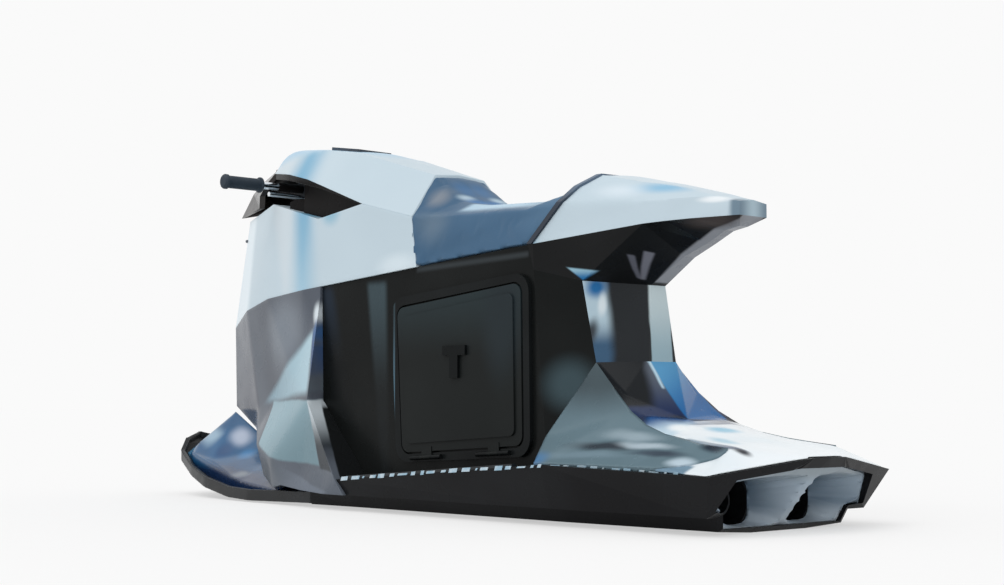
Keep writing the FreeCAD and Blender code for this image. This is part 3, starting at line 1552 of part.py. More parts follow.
exported = [hull_shell, rim_left, rim_right, prow_cap, front_fairing, trunk_shell, battery,
            frame_left, frame_right, hatch_left, hatch_right, latch_left, latch_right,
            stern_liner, hood, seat, trim, tail, underside, pillar, aft_deck, footwell_left,
            footwell_right, core, visor, strip_left, strip_right, cowl_lower, column, handlebar,
            brace, display, knob]
for port_piece in (pump, motor, nozzle, impeller, grate, grip_left):
    exported += [port_piece, mirror_of(port_piece, port_piece.Label.replace("left", "right"))]

doc.recompute()

faults = []
for item in doc.Objects:
    if "Invalid" in item.State or "Error" in item.State:
        faults.append("%s: %s" % (item.Label, item.State))
for item in exported:
    shape = item.Shape
    if shape.isNull() or not shape.isValid() or shape.Volume <= 0:
        faults.append("%s has no valid shape" % item.Label)
if faults:
    raise RuntimeError("; ".join(faults))

os.makedirs("parts", exist_ok=True)
for item in exported:
    item.Shape.exportStep(os.path.join("parts", item.Label + ".step"))
    box = item.Shape.BoundBox
    print("%-22s %2d %12.0f  x %7.1f %7.1f  y %7.1f %7.1f  z %7.1f %7.1f" % (
        item.Label, len(item.Shape.Solids), item.Shape.Volume, box.XMin, box.XMax, box.YMin,
        box.YMax, box.ZMin, box.ZMax))
print("%d nodes" % len(exported))
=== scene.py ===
import json
import math

import bmesh
import bpy
import numpy as np
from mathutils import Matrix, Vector


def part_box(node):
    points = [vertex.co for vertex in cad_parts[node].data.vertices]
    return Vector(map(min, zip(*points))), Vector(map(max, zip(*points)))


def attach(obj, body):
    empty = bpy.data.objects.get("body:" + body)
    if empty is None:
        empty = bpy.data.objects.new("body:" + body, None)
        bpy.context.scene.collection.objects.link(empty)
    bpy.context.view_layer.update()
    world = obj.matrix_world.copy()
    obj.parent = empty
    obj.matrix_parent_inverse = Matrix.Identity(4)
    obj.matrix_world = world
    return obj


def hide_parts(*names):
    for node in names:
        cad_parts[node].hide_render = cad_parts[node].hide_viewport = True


# Places and sizes are in metres on the object: X to the bow, Y to port and Z up
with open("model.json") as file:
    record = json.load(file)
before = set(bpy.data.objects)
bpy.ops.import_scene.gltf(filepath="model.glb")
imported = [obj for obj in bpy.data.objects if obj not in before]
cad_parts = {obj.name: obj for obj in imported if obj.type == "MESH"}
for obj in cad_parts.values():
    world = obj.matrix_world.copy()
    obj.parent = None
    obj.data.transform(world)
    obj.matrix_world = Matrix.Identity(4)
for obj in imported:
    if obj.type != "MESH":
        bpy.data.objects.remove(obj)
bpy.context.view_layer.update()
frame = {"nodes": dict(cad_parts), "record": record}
NODES = frame["nodes"]
SLOT_OF = {row["node"]: row["material_slot"] for row in frame["record"]["subparts"]}
SIDES = (("left", 1), ("right", -1))
UP = Vector((0, 0, 1))


def grown(value, start, run):
    """0 up to the start, then growing evenly to 1 over the run."""
    return min(1.0, max(0.0, (value - start) / run))


# Colours and shader values

SCREEN_FULL = 255
SCREEN_LIFT = 0.055
SCREEN_POWER = 2.4
# Which of the Mix node's sockets take the share and the colours, and give the mix
MIX_SHARE, MIX_FIRST, MIX_SECOND, MIX_COLOUR = 0, 6, 7, 2


def tone(red, green, blue):
    """A colour for a shader, from the three numbers that a screen shows."""
    return tuple(((value / SCREEN_FULL + SCREEN_LIFT) / (1 + SCREEN_LIFT)) ** SCREEN_POWER
                 for value in (red, green, blue))


def grey(value):
    """The same number three times, as a colour or as a vector."""
    return (value,) * 3


def socketed(tree, value, socket):
    """Puts a number, a colour, a vector or another node's result on a socket."""
    if isinstance(value, bpy.types.NodeSocket):
        tree.links.new(value, socket)
    elif isinstance(value, (tuple, list)):
        missing = len(socket.default_value) - len(value)
        socket.default_value = tuple(value) + (1.0,) * missing
    else:
        socket.default_value = value


def mixed(tree, share, first, second):
    """A mix of two colours."""
    mix = tree.nodes.new("ShaderNodeMix")
    mix.data_type = "RGBA"
    for value, place in ((share, MIX_SHARE), (first, MIX_FIRST), (second, MIX_SECOND)):
        socketed(tree, value, mix.inputs[place])
    return mix.outputs[MIX_COLOUR]


def operated(tree, kind, operation, values, output):
    """The result of a node that works on its values in their order."""
    node = tree.nodes.new(kind)
    node.operation = operation
    for value, socket in zip(values, node.inputs):
        socketed(tree, value, socket)
    return node.outputs[output]


def calculated(tree, operation, *values):
    """The result of a number operation."""
    return operated(tree, "ShaderNodeMath", operation, values, "Value")


def moved(tree, operation, *values):
    """The vector that a vector operation gives."""
    return operated(tree, "ShaderNodeVectorMath", operation, values, "Vector")


def measured(tree, operation, *values):
    """The number that a vector operation gives."""
    return operated(tree, "ShaderNodeVectorMath", operation, values, "Value")


def softened_step(tree, value, none, full):
    """Grows softly from 0 where the value is none to 1 where it is full."""
    step = tree.nodes.new("ShaderNodeMapRange")
    step.interpolation_type = "SMOOTHSTEP"
    tree.links.new(value, step.inputs["Value"])
    step.inputs["From Min"].default_value = none
    step.inputs["From Max"].default_value = full
    return step.outputs["Result"]


def object_point(tree, folded):
    """The point on the object, with both sides read alike where it is folded."""
    source = tree.nodes.new("ShaderNodeTexCoord").outputs["Object"]
    if not folded:
        return source
    split = tree.nodes.new("ShaderNodeSeparateXYZ")
    tree.links.new(source, split.inputs[0])
    join = tree.nodes.new("ShaderNodeCombineXYZ")
    tree.links.new(split.outputs["X"], join.inputs["X"])
    tree.links.new(calculated(tree, "ABSOLUTE", split.outputs["Y"]), join.inputs["Y"])
    tree.links.new(split.outputs["Z"], join.inputs["Z"])
    return join.outputs[0]


def noise(tree, point, scale, detail=2.0, output="Fac"):
    """A noise field over the object."""
    field = tree.nodes.new("ShaderNodeTexNoise")
    field.inputs["Scale"].default_value = scale
    field.inputs["Detail"].default_value = detail
    tree.links.new(point, field.inputs["Vector"])
    return field.outputs[output]


def ramp(tree, value, places, colours):
    """Turns softly from a first colour into a second between two places of a value."""
    turn = tree.nodes.new("ShaderNodeValToRGB")
    turn.color_ramp.interpolation = "EASE"
    for element, place, colour in zip(turn.color_ramp.elements, places, colours):
        element.position = place
        element.color = tuple(colour) + (1.0,)
    tree.links.new(value, turn.inputs["Fac"])
    return turn.outputs["Color"]


# Tinted layers: each is a function for its share at a point, and its tint

AXES = {"xz": (0, 2), "xy": (0, 1), "yz": (1, 2)}


def spot(centre, reach, tint, full=0.2):
    """A soft round patch, full up to a share of its reach and gone at the whole reach."""
    def share(tree, point):
        offset = moved(tree, "SUBTRACT", point, centre)
        distance = measured(tree, "LENGTH", moved(tree, "DIVIDE", offset, reach))
        return softened_step(tree, distance, 1.0, full)
    return share, tint


def patch(plane, corners, tint, soft=0.004):
    """A convex patch with straight edges, seen along one axis."""
    axes = AXES[plane]
    middle = [sum(corner[k] for corner in corners) / len(corners) for k in (0, 1)]

    def inside(tree, point, start, end):
        """1 on the middle's side of the edge between two corners."""
        across = (start[1] - end[1], end[0] - start[0])
        size = math.hypot(*across)
        normal = [part / size for part in across]
        level = normal[0] * start[0] + normal[1] * start[1]
        if normal[0] * middle[0] + normal[1] * middle[1] < level:
            normal, level = [-part for part in normal], -level
        way = [0.0, 0.0, 0.0]
        way[axes[0]], way[axes[1]] = normal
        reach = measured(tree, "DOT_PRODUCT", point, way)
        return softened_step(tree, reach, level - soft, level + soft)

    def share(tree, point):
        total = 1.0
        for start, end in zip(corners, corners[1:] + corners[:1]):
            total = calculated(tree, "MULTIPLY", total, inside(tree, point, start, end))
        return total
    return share, tint


def both(first, second):
    """The first layer's tint, only where the two layers overlap."""
    def share(tree, point):
        return calculated(tree, "MULTIPLY", first[0](tree, point), second[0](tree, point))
    return share, first[1]


def fade(start, end, tint):
    """A tint that grows from nothing at the start point to full at the end point."""
    def share(tree, point):
        line = [b - a for a, b in zip(start, end)]
        reach = measured(tree, "DOT_PRODUCT", point, line)
        none = sum(a * d for a, d in zip(start, line))
        full = sum(b * d for b, d in zip(end, line))
        return softened_step(tree, reach, none, full)
    return share, tint


def graded(start, end, first, second):
    """A tint that turns from one colour at the start point into another at the end point."""
    def colour(tree, point):
        share, _ = fade(start, end, second)
        return mixed(tree, share(tree, point), first, second)
    return colour


# Finishes

BASE_PLACES = (0.35, 0.65)
WEAR_PLACES = (0.3, 0.7)
WEAR_FINENESS = 5
WEAR_DETAIL = 4.0
SWIRL_SCALE = 7.0
SWIRL_MIDDLE = 0.5
PEEL_DEPTH = 0.0004
PEEL_DETAIL = 1.0
CLEAR_ROUGHNESS = 0.08
FINISHES = {}


def wavered(tree, point, size):
    """The point, led astray a little, so that the layers' edges waver."""
    swirl = noise(tree, point, SWIRL_SCALE, output="Color")
    swirl = moved(tree, "SUBTRACT", swirl, grey(SWIRL_MIDDLE))
    return moved(tree, "ADD", point, moved(tree, "MULTIPLY", swirl, grey(size)))


def coat(name, base, second, layers=(), metallic=0.0, rough=(0.3, 0.38), clear=0.0,
         specular=0.5, scale=3.0, peel=0.02, peel_scale=260.0, sheen=0.0, waver=0.0,
         folded=True):
    """A painted, moulded or metal finish: slow colour change, tinted layers and fine relief."""
    material = bpy.data.materials.new(name)
    material.use_nodes = True
    tree = material.node_tree
    shader = tree.nodes["Principled BSDF"]
    point = object_point(tree, folded)
    colour = ramp(tree, noise(tree, point, scale), BASE_PLACES, (tone(*base), tone(*second)))
    layer_point = wavered(tree, point, waver) if waver else point
    for share, tint in layers:
        value = tint(tree, layer_point) if callable(tint) else tint
        colour = mixed(tree, share(tree, layer_point), colour, value)
    tree.links.new(colour, shader.inputs["Base Color"])
    wear = noise(tree, point, scale * WEAR_FINENESS, detail=WEAR_DETAIL)
    roughness = ramp(tree, wear, WEAR_PLACES, [grey(value) for value in rough])
    tree.links.new(roughness, shader.inputs["Roughness"])
    relief = tree.nodes.new("ShaderNodeBump")
    relief.inputs["Strength"].default_value = peel
    relief.inputs["Distance"].default_value = PEEL_DEPTH
    height = noise(tree, point, peel_scale, detail=PEEL_DETAIL)
    tree.links.new(height, relief.inputs["Height"])
    tree.links.new(relief.outputs["Normal"], shader.inputs["Normal"])
    shader.inputs["Metallic"].default_value = metallic
    shader.inputs["Specular IOR Level"].default_value = specular
    shader.inputs["Coat Weight"].default_value = clear
    shader.inputs["Coat Roughness"].default_value = CLEAR_ROUGHNESS
    shader.inputs["Sheen Weight"].default_value = sheen
    return material


def add_finish(name, base, second, layers=(), **looks):
    """Makes a finish and keeps it under its name, which is that of its slot."""
    FINISHES[name] = coat(name, base, second, layers, **looks)


# Black mouldings

BLACK = {"rough": (0.24, 0.36), "specular": 0.07}
RIM_BLACK = {**BLACK, "specular": 0.2}
UNDER_BLACK = {**BLACK, "specular": 0.12}

FRAME_LAYERS = (
    # Front edge of the hatch frame, which catches the light
    patch("xz", [(0.013, 0.60), (0.006, 0.60), (0.006, 0.15), (0.013, 0.15)],
          graded((0, 0, 0.55), (0, 0, 0.30), tone(52, 66, 72), tone(84, 112, 128)), 0.002),
)
TRUNK_LAYERS = (
    # Bluish strip behind the fairing: a painted sheen
    patch("xz", [(0.345, 0.62), (0.30, 0.62), (0.22, 0.30), (0.29, 0.30)],
          graded((0, 0, 0.60), (0, 0, 0.40), tone(30, 40, 52), tone(20, 22, 23)), 0.02),
    # Lighter upright strip ahead of the hatch: a painted reflection
    patch("xz", [(0.14, 0.62), (0.06, 0.62), (0.045, 0.10), (0.075, 0.10)],
          graded((0, 0, 0.62), (0, 0, 0.30), tone(62, 76, 82), tone(30, 33, 34)), 0.012),
    # Glow near the footwell, and the lit edge under the seat
    spot((-0.62, 0.17, 0.335), (0.10, 0.30, 0.09), tone(62, 78, 84)),
    patch("xz", [(-0.07, 0.652), (-0.50, 0.668), (-0.50, 0.655), (-0.07, 0.640)],
          tone(52, 57, 60), 0.006),
)
UNDER_LAYERS = (
    # Two slanting painted reflections
    patch("xz", [(-0.764, 0.648), (-0.776, 0.645), (-0.753, 0.592), (-0.747, 0.594)],
          tone(92, 94, 104), 0.003),
    patch("xz", [(-0.798, 0.655), (-0.814, 0.650), (-0.758, 0.590), (-0.751, 0.592)],
          tone(112, 114, 124), 0.003),
    # Light middle facet of the underside, with a warm tint towards the tip
    patch("xy", [(-0.77, -0.02), (-0.77, 0.024), (-1.07, 0.040), (-1.07, -0.02)],
          tone(140, 143, 149)),
    spot((-0.98, 0.06, 0.72), (0.10, 0.08, 0.03), tone(70, 62, 58)),
    # Painted blue reflection on the corner above the wedge
    patch("xz", [(-0.612, 0.622), (-0.690, 0.611), (-0.650, 0.590)],
          graded((0, 0, 0.618), (0, 0, 0.594), tone(150, 190, 208), tone(36, 110, 165)), 0.003),
)
add_finish("hull_black", (24, 24, 26), (30, 31, 33), **BLACK)
add_finish("rim_black", (22, 24, 26), (32, 35, 38), **RIM_BLACK)
add_finish("trunk_black", (18, 20, 20), (25, 27, 27), TRUNK_LAYERS, **BLACK)
add_finish("frame_black", (20, 22, 23), (27, 30, 31), FRAME_LAYERS, **BLACK)
add_finish("latch_black", (16, 19, 20), (22, 25, 27), **BLACK)
add_finish("slot_black", (14, 13, 13), (24, 22, 22), **BLACK)
add_finish("under_black", (19, 20, 21), (27, 28, 29), UNDER_LAYERS, **UNDER_BLACK)
add_finish("column_metal", (38, 42, 46), (56, 60, 64), **BLACK)

# Bow cap

NAVY = tone(26, 48, 84)
AZURE = tone(48, 125, 180)
PROW_LAYERS = (
    # Painted shade along the foot, then painted light and blue highlights
    patch("xz", [(1.22, 0.10), (0.95, 0.02), (0.50, 0.02), (0.50, 0.07), (0.90, 0.10)],
          NAVY, 0.02),
    spot((1.075, 0.075, 0.185), (0.055, 0.05, 0.06), tone(150, 178, 198)),
    spot((1.15, 0.10, 0.135), (0.05, 0.05, 0.03), tone(90, 150, 190)),
    spot((0.975, 0.04, 0.180), (0.06, 0.05, 0.075), tone(176, 188, 208)),
    spot((0.90, 0.06, 0.125), (0.05, 0.05, 0.035), AZURE),
    spot((0.985, 0.09, 0.140), (0.045, 0.04, 0.04), tone(18, 72, 120)),
    spot((0.80, 0.14, 0.075), (0.06, 0.06, 0.02), tone(120, 130, 142)),
)
add_finish("deep_blue", (26, 80, 122), (34, 96, 142), PROW_LAYERS, rough=(0.18, 0.26),
           specular=0.5, clear=0.2, scale=5.0, waver=0.05)

# Silver fairing

COAL = tone(24, 26, 27)
SILVER = {"rough": (0.22, 0.3), "specular": 0.12, "scale": 2.2, "peel": 0.01, "waver": 0.02}
FAIRING_LAYERS = (
    # Painted reflections on the narrow front strip and the panel beside it
    patch("xz", [(1.10, 0.62), (0.86, 0.62), (0.76, 0.29), (0.76, 0.20), (1.10, 0.20)],
          graded((0.98, 0, 0.56), (0.80, 0, 0.26), tone(100, 106, 116), tone(84, 89, 100)),
          0.006),
    spot((0.55, 0.18, 0.50), (0.20, 0.10, 0.16), tone(122, 130, 140)),
    # Painted light reflection on the triangle under the panel
    patch("xz", [(0.36, 0.50), (0.345, 0.30), (0.66, 0.29), (0.71, 0.285)],
          graded((0.36, 0, 0.46), (0.66, 0, 0.29), tone(176, 204, 216), tone(140, 168, 182)),
          0.016),
    # Painted reflection on the lower bulge
    patch("xz", [(0.64, 0.295), (0.33, 0.30), (0.24, 0.12), (0.52, 0.13), (0.66, 0.17)],
          graded((0.50, 0, 0.29), (0.40, 0, 0.12), tone(146, 174, 185), tone(116, 142, 152)),
          0.005),
    # Painted reflection on the skirt
    patch("xz", [(0.68, 0.165), (0.525, 0.128), (0.235, 0.113), (0.10, 0.06), (0.42, 0.0),
                 (0.70, 0.05)],
          graded((0.60, 0, 0.12), (0.25, 0, 0.08), tone(86, 93, 101), tone(108, 116, 128))),
    # Narrow band of painted blue reflection along the rear edge, with a painted highlight and a
    # painted blue reflection on it
    patch("xz", [(0.43, 0.63), (0.345, 0.63), (0.338, 0.45), (0.338, 0.30), (0.362, 0.45),
                 (0.395, 0.56)],
          graded((0, 0, 0.62), (0, 0, 0.32), tone(58, 92, 140), tone(70, 88, 120))),
    spot((0.352, 0.20, 0.545), (0.030, 0.06, 0.045), tone(216, 226, 232)),
    spot((0.350, 0.20, 0.49), (0.020, 0.06, 0.05), tone(60, 100, 150)),
    # Lower rear strip, with a painted highlight above and painted shade below
    patch("xz", [(0.338, 0.30), (0.30, 0.30), (0.16, 0.10), (0.232, 0.11)],
          graded((0, 0, 0.27), (0, 0, 0.17), tone(196, 206, 212), tone(52, 58, 64))),
    # Dark inner side beside the trunk
    both(patch("xz", [(0.335, 0.31), (0.228, 0.107), (0.13, 0.06), (0.05, 0.06), (0.05, 0.31)],
               COAL, 0.003),
         patch("yz", [(0.17, 0.32), (0.203, 0.30), (0.282, 0.09), (0.282, 0.02), (0.17, 0.02)],
               COAL, 0.003)),
)
add_finish("mirror_silver", (86, 92, 102), (96, 103, 113), FAIRING_LAYERS, **SILVER)

# Wedge behind the trunk, with painted reflections and shade: a light strip at the side, a dark
# middle and a bright face behind

PILLAR_LAYERS = (
    patch("xz", [(-0.640, 0.60), (-0.684, 0.60), (-0.716, 0.385), (-0.640, 0.385)],
          graded((0, 0, 0.50), (0, 0, 0.43), tone(176, 198, 210), tone(62, 92, 120)), 0.010),
    spot((-0.672, 0.13, 0.572), (0.030, 0.08, 0.036), tone(36, 104, 160)),
    spot((-0.684, 0.12, 0.530), (0.012, 0.08, 0.04), tone(214, 226, 232)),
    spot((-0.672, 0.14, 0.46), (0.016, 0.08, 0.05), tone(60, 66, 72)),
    patch("yz", [(-0.01, 0.60), (0.0335, 0.60), (0.0395, 0.385), (-0.01, 0.385)],
          graded((0, 0, 0.56), (0, 0, 0.40), tone(206, 222, 226), tone(158, 184, 194)), 0.003),
)
add_finish("pillar_silver", (38, 41, 44), (48, 51, 54), PILLAR_LAYERS, **SILVER)

# Aft deck and footwells

DECK_LAYERS = (
    # Painted shade, and blue and pale reflections, on the faces of the step up to the wedge
    patch("xz", [(-0.66, 0.40), (-0.80, 0.40), (-0.88, 0.232), (-0.80, 0.232)],
          tone(30, 33, 36), 0.003),
    patch("xz", [(-0.758, 0.41), (-0.80, 0.41), (-0.92, 0.235), (-0.812, 0.262)],
          graded((0, 0, 0.37), (0, 0, 0.255), tone(92, 100, 112), tone(34, 50, 88)), 0.006),
    patch("xy", [(-0.835, 0.125), (-0.872, 0.175), (-0.965, 0.19), (-0.905, 0.03),
                 (-0.853, 0.0)],
          graded((-0.84, 0, 0), (-0.93, 0, 0), tone(30, 84, 146), tone(200, 222, 236)), 0.012),
    patch("yz", [(-0.15, 0.40), (0.052, 0.40), (0.002, 0.249), (-0.15, 0.249)],
          graded((0, 0.05, 0.37), (0, 0.0, 0.26), tone(88, 158, 204), tone(30, 104, 168)),
          0.003),
    patch("yz", [(0.046, 0.40), (0.056, 0.40), (0.036, 0.325), (0.030, 0.325)],
          tone(190, 220, 236)),
    # Blue and white sheen on the flat deck
    spot((-0.98, 0.02, 0.23), (0.05, 0.07, 0.05), tone(120, 190, 220)),
    spot((-1.06, 0.12, 0.20), (0.06, 0.035, 0.05), tone(168, 206, 224)),
    spot((-0.93, 0.12, 0.235), (0.035, 0.045, 0.04), tone(244, 250, 252)),
    # Painted shade in the dip on the port side, and a painted reflection on the deck's outer
    # corner
    patch("xy", [(-1.00, 0.172), (-1.00, 0.20), (-1.10, 0.215), (-1.17, 0.175),
                 (-1.10, 0.160)],
          graded((-1.0, 0, 0), (-1.16, 0, 0), tone(150, 168, 182), tone(30, 62, 98)), 0.008),
    spot((-1.165, 0.185, 0.19), (0.035, 0.02, 0.05), tone(20, 28, 40)),
    patch("xy", [(-1.00, 0.36), (-1.00, 0.285), (-1.09, 0.278), (-1.12, 0.29), (-1.12, 0.36)],
          tone(118, 146, 166), 0.008),
)
add_finish("deck_silver", (226, 237, 243), (240, 246, 250), DECK_LAYERS, rough=(0.16, 0.24),
           specular=0.12, scale=3.0, peel=0.01, waver=0.02, folded=False)

WELL_LAYERS = (
    # Lighter towards the bottom, and darker at the upper front end
    fade((0, 0, 0.34), (0, 0, 0.24), tone(104, 126, 136)),
    spot((-0.60, 0.18, 0.36), (0.07, 0.10, 0.07), tone(40, 46, 50)),
    # Long painted light and dark reflections along the well, with blue and pale painted
    # reflections at its ends
    spot((-0.86, 0.20, 0.214), (0.13, 0.025, 0.03), tone(150, 168, 178)),
    spot((-0.80, 0.235, 0.196), (0.18, 0.022, 0.03), tone(58, 66, 74)),
    spot((-0.92, 0.225, 0.196), (0.12, 0.018, 0.03), tone(176, 192, 202)),
    spot((-0.74, 0.262, 0.172), (0.20, 0.020, 0.03), tone(120, 142, 154)),
    spot((-0.98, 0.25, 0.178), (0.12, 0.018, 0.03), tone(70, 82, 94)),
    spot((-0.60, 0.27, 0.155), (0.06, 0.06, 0.03), tone(88, 130, 170)),
    spot((-1.07, 0.275, 0.158), (0.06, 0.03, 0.03), tone(190, 208, 220)),
    spot((-1.10, 0.205, 0.190), (0.05, 0.025, 0.03), tone(48, 56, 68)),
)
add_finish("well_slate", (66, 78, 84), (80, 94, 100), WELL_LAYERS, rough=(0.2, 0.28),
           specular=0.12, peel=0.01, waver=0.03)

# Hatch and the pieces inside and underneath

HATCH_LAYERS = (
    # Lighter and bluer towards the top, a painted sheen, and a lighter patch in the middle
    fade((0, 0, 0.40), (0, 0, 0.58), tone(40, 50, 53)),
    spot((-0.42, 0.20, 0.50), (0.10, 0.10, 0.22), tone(38, 46, 50)),
)
LINER_LAYERS = (
    # Painted shade deeper in the opening and under its top; lighter towards its bottom
    fade((-1.18, 0, 0), (-1.06, 0, 0), tone(112, 132, 150)),
    fade((0, 0, 0.06), (0, 0, 0.018), tone(206, 218, 228)),
    fade((0, 0, 0.105), (0, 0, 0.135), tone(150, 162, 170)),
)
add_finish("hatch_black", (27, 30, 30), (31, 34, 34), HATCH_LAYERS, rough=(0.3, 0.4),
           specular=0.08, peel=0.05, peel_scale=900.0)
add_finish("battery_grey", (90, 93, 97), (104, 107, 110), rough=(0.4, 0.55), peel=0.2)
add_finish("motor_grey", (98, 101, 104), (118, 120, 122), metallic=0.8, rough=(0.4, 0.6),
           peel=0.3)
add_finish("pump_metal", (46, 48, 51), (60, 63, 66), metallic=0.5, rough=(0.35, 0.5), peel=0.3)
add_finish("blade_steel", (176, 178, 181), (200, 202, 205), metallic=1.0, rough=(0.25, 0.35))
add_finish("grate_metal", (92, 95, 98), (120, 122, 125), metallic=0.8, rough=(0.35, 0.5))
add_finish("liner_pale", (160, 177, 192), (182, 197, 210), LINER_LAYERS, rough=(0.35, 0.45),
           specular=0.3, scale=5.0)

# Pale cowl, hood and tail

COWL_LAYERS = (
    # Painted blue and light reflections in soft bands down the side
    patch("xz", [(0.58, 1.10), (0.48, 1.10), (0.40, 0.90), (0.39, 0.52), (0.50, 0.52),
                 (0.54, 0.90)],
          graded((0, 0, 0.85), (0, 0, 0.58), tone(120, 174, 204), tone(156, 194, 215)), 0.06),
    patch("xz", [(0.80, 1.10), (0.62, 1.10), (0.55, 0.90), (0.53, 0.52), (0.66, 0.52),
                 (0.70, 0.90)], tone(204, 217, 225), 0.03),
    spot((0.30, 0.20, 0.83), (0.06, 0.08, 0.05), tone(150, 190, 210)),
    # Painted highlights on the front edge, bluish painted highlights along the ridge of the
    # hood, and a painted highlight low at the rear
    patch("xz", [(1.10, 0.90), (0.90, 0.90), (0.84, 0.52), (1.10, 0.52)],
          tone(226, 238, 245), 0.03),
    patch("yz", [(-0.01, 1.10), (0.10, 1.10), (0.10, 1.00), (-0.01, 1.00)],
          tone(168, 202, 224), 0.02),
    spot((0.0, 0.2, 0.66), (0.12, 0.10, 0.05), tone(214, 228, 236)),
)
TAIL_LAYERS = (
    # Painted blue reflection on the top, with a lighter painted reflection ahead of it and a
    # blue one along the front edge
    spot((-0.84, 0.09, 0.802), (0.22, 0.05, 0.022), tone(138, 186, 216), 0.0),
    spot((-0.74, 0.12, 0.80), (0.12, 0.05, 0.03), tone(214, 227, 236), 0.0),
    fade((-0.56, 0.19, 0.68), (-0.50, 0.20, 0.66), tone(150, 200, 225)),
    # Blunt tip, with painted shade towards its sides and a painted highlight just ahead of it
    patch("xz", [(-1.035, 0.80), (-1.035, 0.70), (-1.10, 0.70), (-1.10, 0.80)],
          graded((0, 0.05, 0), (0, 0.0, 0), tone(112, 134, 150), tone(168, 190, 202)), 0.008),
    spot((-1.0, 0.07, 0.765), (0.06, 0.05, 0.012), tone(236, 242, 246)),
)
add_finish("cowl_pale", (193, 210, 220), (199, 216, 226), COWL_LAYERS, rough=(0.32, 0.4),
           specular=0.3, scale=1.6, peel=0.01)
add_finish("tail_pale", (192, 209, 219), (199, 215, 225), TAIL_LAYERS, rough=(0.3, 0.38),
           specular=0.3, scale=1.6, peel=0.01)

# Seat and the band behind it

SEAT_LAYERS = (
    # Raised front, with blue and light sheen on its slope
    spot((-0.13, 0.205, 0.78), (0.10, 0.06, 0.10), tone(96, 118, 138)),
    spot((-0.085, 0.13, 0.86), (0.045, 0.06, 0.075), tone(124, 134, 146)),
    spot((-0.10, 0.03, 0.885), (0.07, 0.06, 0.05), tone(52, 104, 150)),
    spot((-0.13, 0.06, 0.850), (0.035, 0.05, 0.022), tone(176, 200, 216)),
    spot((-0.15, 0.03, 0.832), (0.06, 0.07, 0.022), tone(44, 108, 164)),
    # Painted highlight on the top of the dip, and painted light on the slope up to the tail
    patch("xy", [(-0.20, -0.01), (-0.20, 0.155), (-0.60, 0.150), (-0.60, -0.01)],
          tone(178, 206, 224), 0.018),
    fade((-0.42, 0, 0.72), (-0.60, 0, 0.80), tone(86, 118, 146)),
)
BAND_LAYERS = (fade((0, 0, 0.77), (0, 0, 0.83), tone(84, 104, 126)),)
add_finish("seat_slate", (66, 98, 127), (74, 106, 135), SEAT_LAYERS, rough=(0.36, 0.46),
           specular=0.12, peel=0.22, peel_scale=420.0, sheen=0.05, scale=2.0)
add_finish("band_dark", (30, 40, 54), (40, 52, 68), BAND_LAYERS, rough=(0.2, 0.3),
           specular=0.4)

# Small pieces

add_finish("visor_black", (26, 22, 21), (44, 37, 34), rough=(0.16, 0.24), specular=0.35,
           scale=9.0)
add_finish("display_black", (20, 40, 56), (36, 66, 88), rough=(0.08, 0.14), specular=0.5,
           scale=6.0)
add_finish("strip_blue", (20, 22, 24), (30, 34, 38), rough=(0.3, 0.4), specular=0.3)
add_finish("bar_chrome", (214, 220, 226), (232, 236, 240), metallic=1.0, rough=(0.08, 0.14))
add_finish("grip_rubber", (38, 50, 61), (46, 58, 70), rough=(0.5, 0.65), specular=0.3,
           peel=0.3, peel_scale=500.0)
add_finish("knob_black", (70, 78, 88), (86, 94, 104), rough=(0.4, 0.5))
# Pale colour of the gunwale plates: painted glints of light
DASH_BLUE = coat("dash_blue", (150, 184, 204), (196, 212, 222), rough=(0.25, 0.35),
                 specular=0.4, scale=40.0)


# Nodes of the frame: their finishes, and rounded edges on some that keep their solids

OWN_FINISHES = {"rear_pillar": "pillar_silver"}
BEVELS = {
    "trunk_shell": 0.003, "rear_pillar": 0.0015, "hull_shell": 0.0025, "tail_underside": 0.002,
    "visor": 0.003, "latch_handle_left": 0.0015, "latch_handle_right": 0.0015,
}
BEVEL_ANGLE = 9
BEVEL_SEGMENTS = 3


def soft_edges(piece, width, angle):
    """Rounds a piece's edges over an angle in degrees."""
    soft = piece.modifiers.new("soft_edges", "BEVEL")
    soft.width = width
    soft.segments = BEVEL_SEGMENTS
    soft.limit_method = "ANGLE"
    soft.angle_limit = math.radians(angle)
    soft.harden_normals = True


for name, node in NODES.items():
    node.data.materials.clear()
    node.data.materials.append(FINISHES[OWN_FINISHES.get(name, SLOT_OF[name])])
    if name in BEVELS:
        soft_edges(node, BEVELS[name], BEVEL_ANGLE)


# Making pieces in mesh code

JOIN_DISTANCE = 1e-6
FLAT_ANGLE = math.radians(0.1)
HALVINGS = 5
RELAX_SHARE = 0.5


def piece_from(name, mesh, body, slot, finish=None):
    """A new piece of the object, on a body, with its slot's finish or one of its own."""
    piece = bpy.data.objects.new(name, mesh)
    bpy.context.scene.collection.objects.link(piece)
    mesh.materials.clear()
    mesh.materials.append(finish or FINISHES[slot])
    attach(piece, body)
    return piece


def meshed(name, form):
    """A mesh from a working form, which it uses up."""
    mesh = bpy.data.meshes.new(name)
    form.to_mesh(mesh)
    form.free()
    return mesh


def applied(piece):
    """Applies a piece's modifiers to its mesh."""
    bpy.context.view_layer.update()
    graph = bpy.context.evaluated_depsgraph_get()
    mesh = bpy.data.meshes.new_from_object(piece.evaluated_get(graph))
    piece.modifiers.clear()
    old = piece.data
    piece.data = mesh
    bpy.data.meshes.remove(old)


def smooth(piece, angle):
    """Shades a piece smooth, with edges over an angle in degrees left sharp."""
    for polygon in piece.data.polygons:
        polygon.use_smooth = True
    piece.data.set_sharp_from_angle(angle=math.radians(angle))


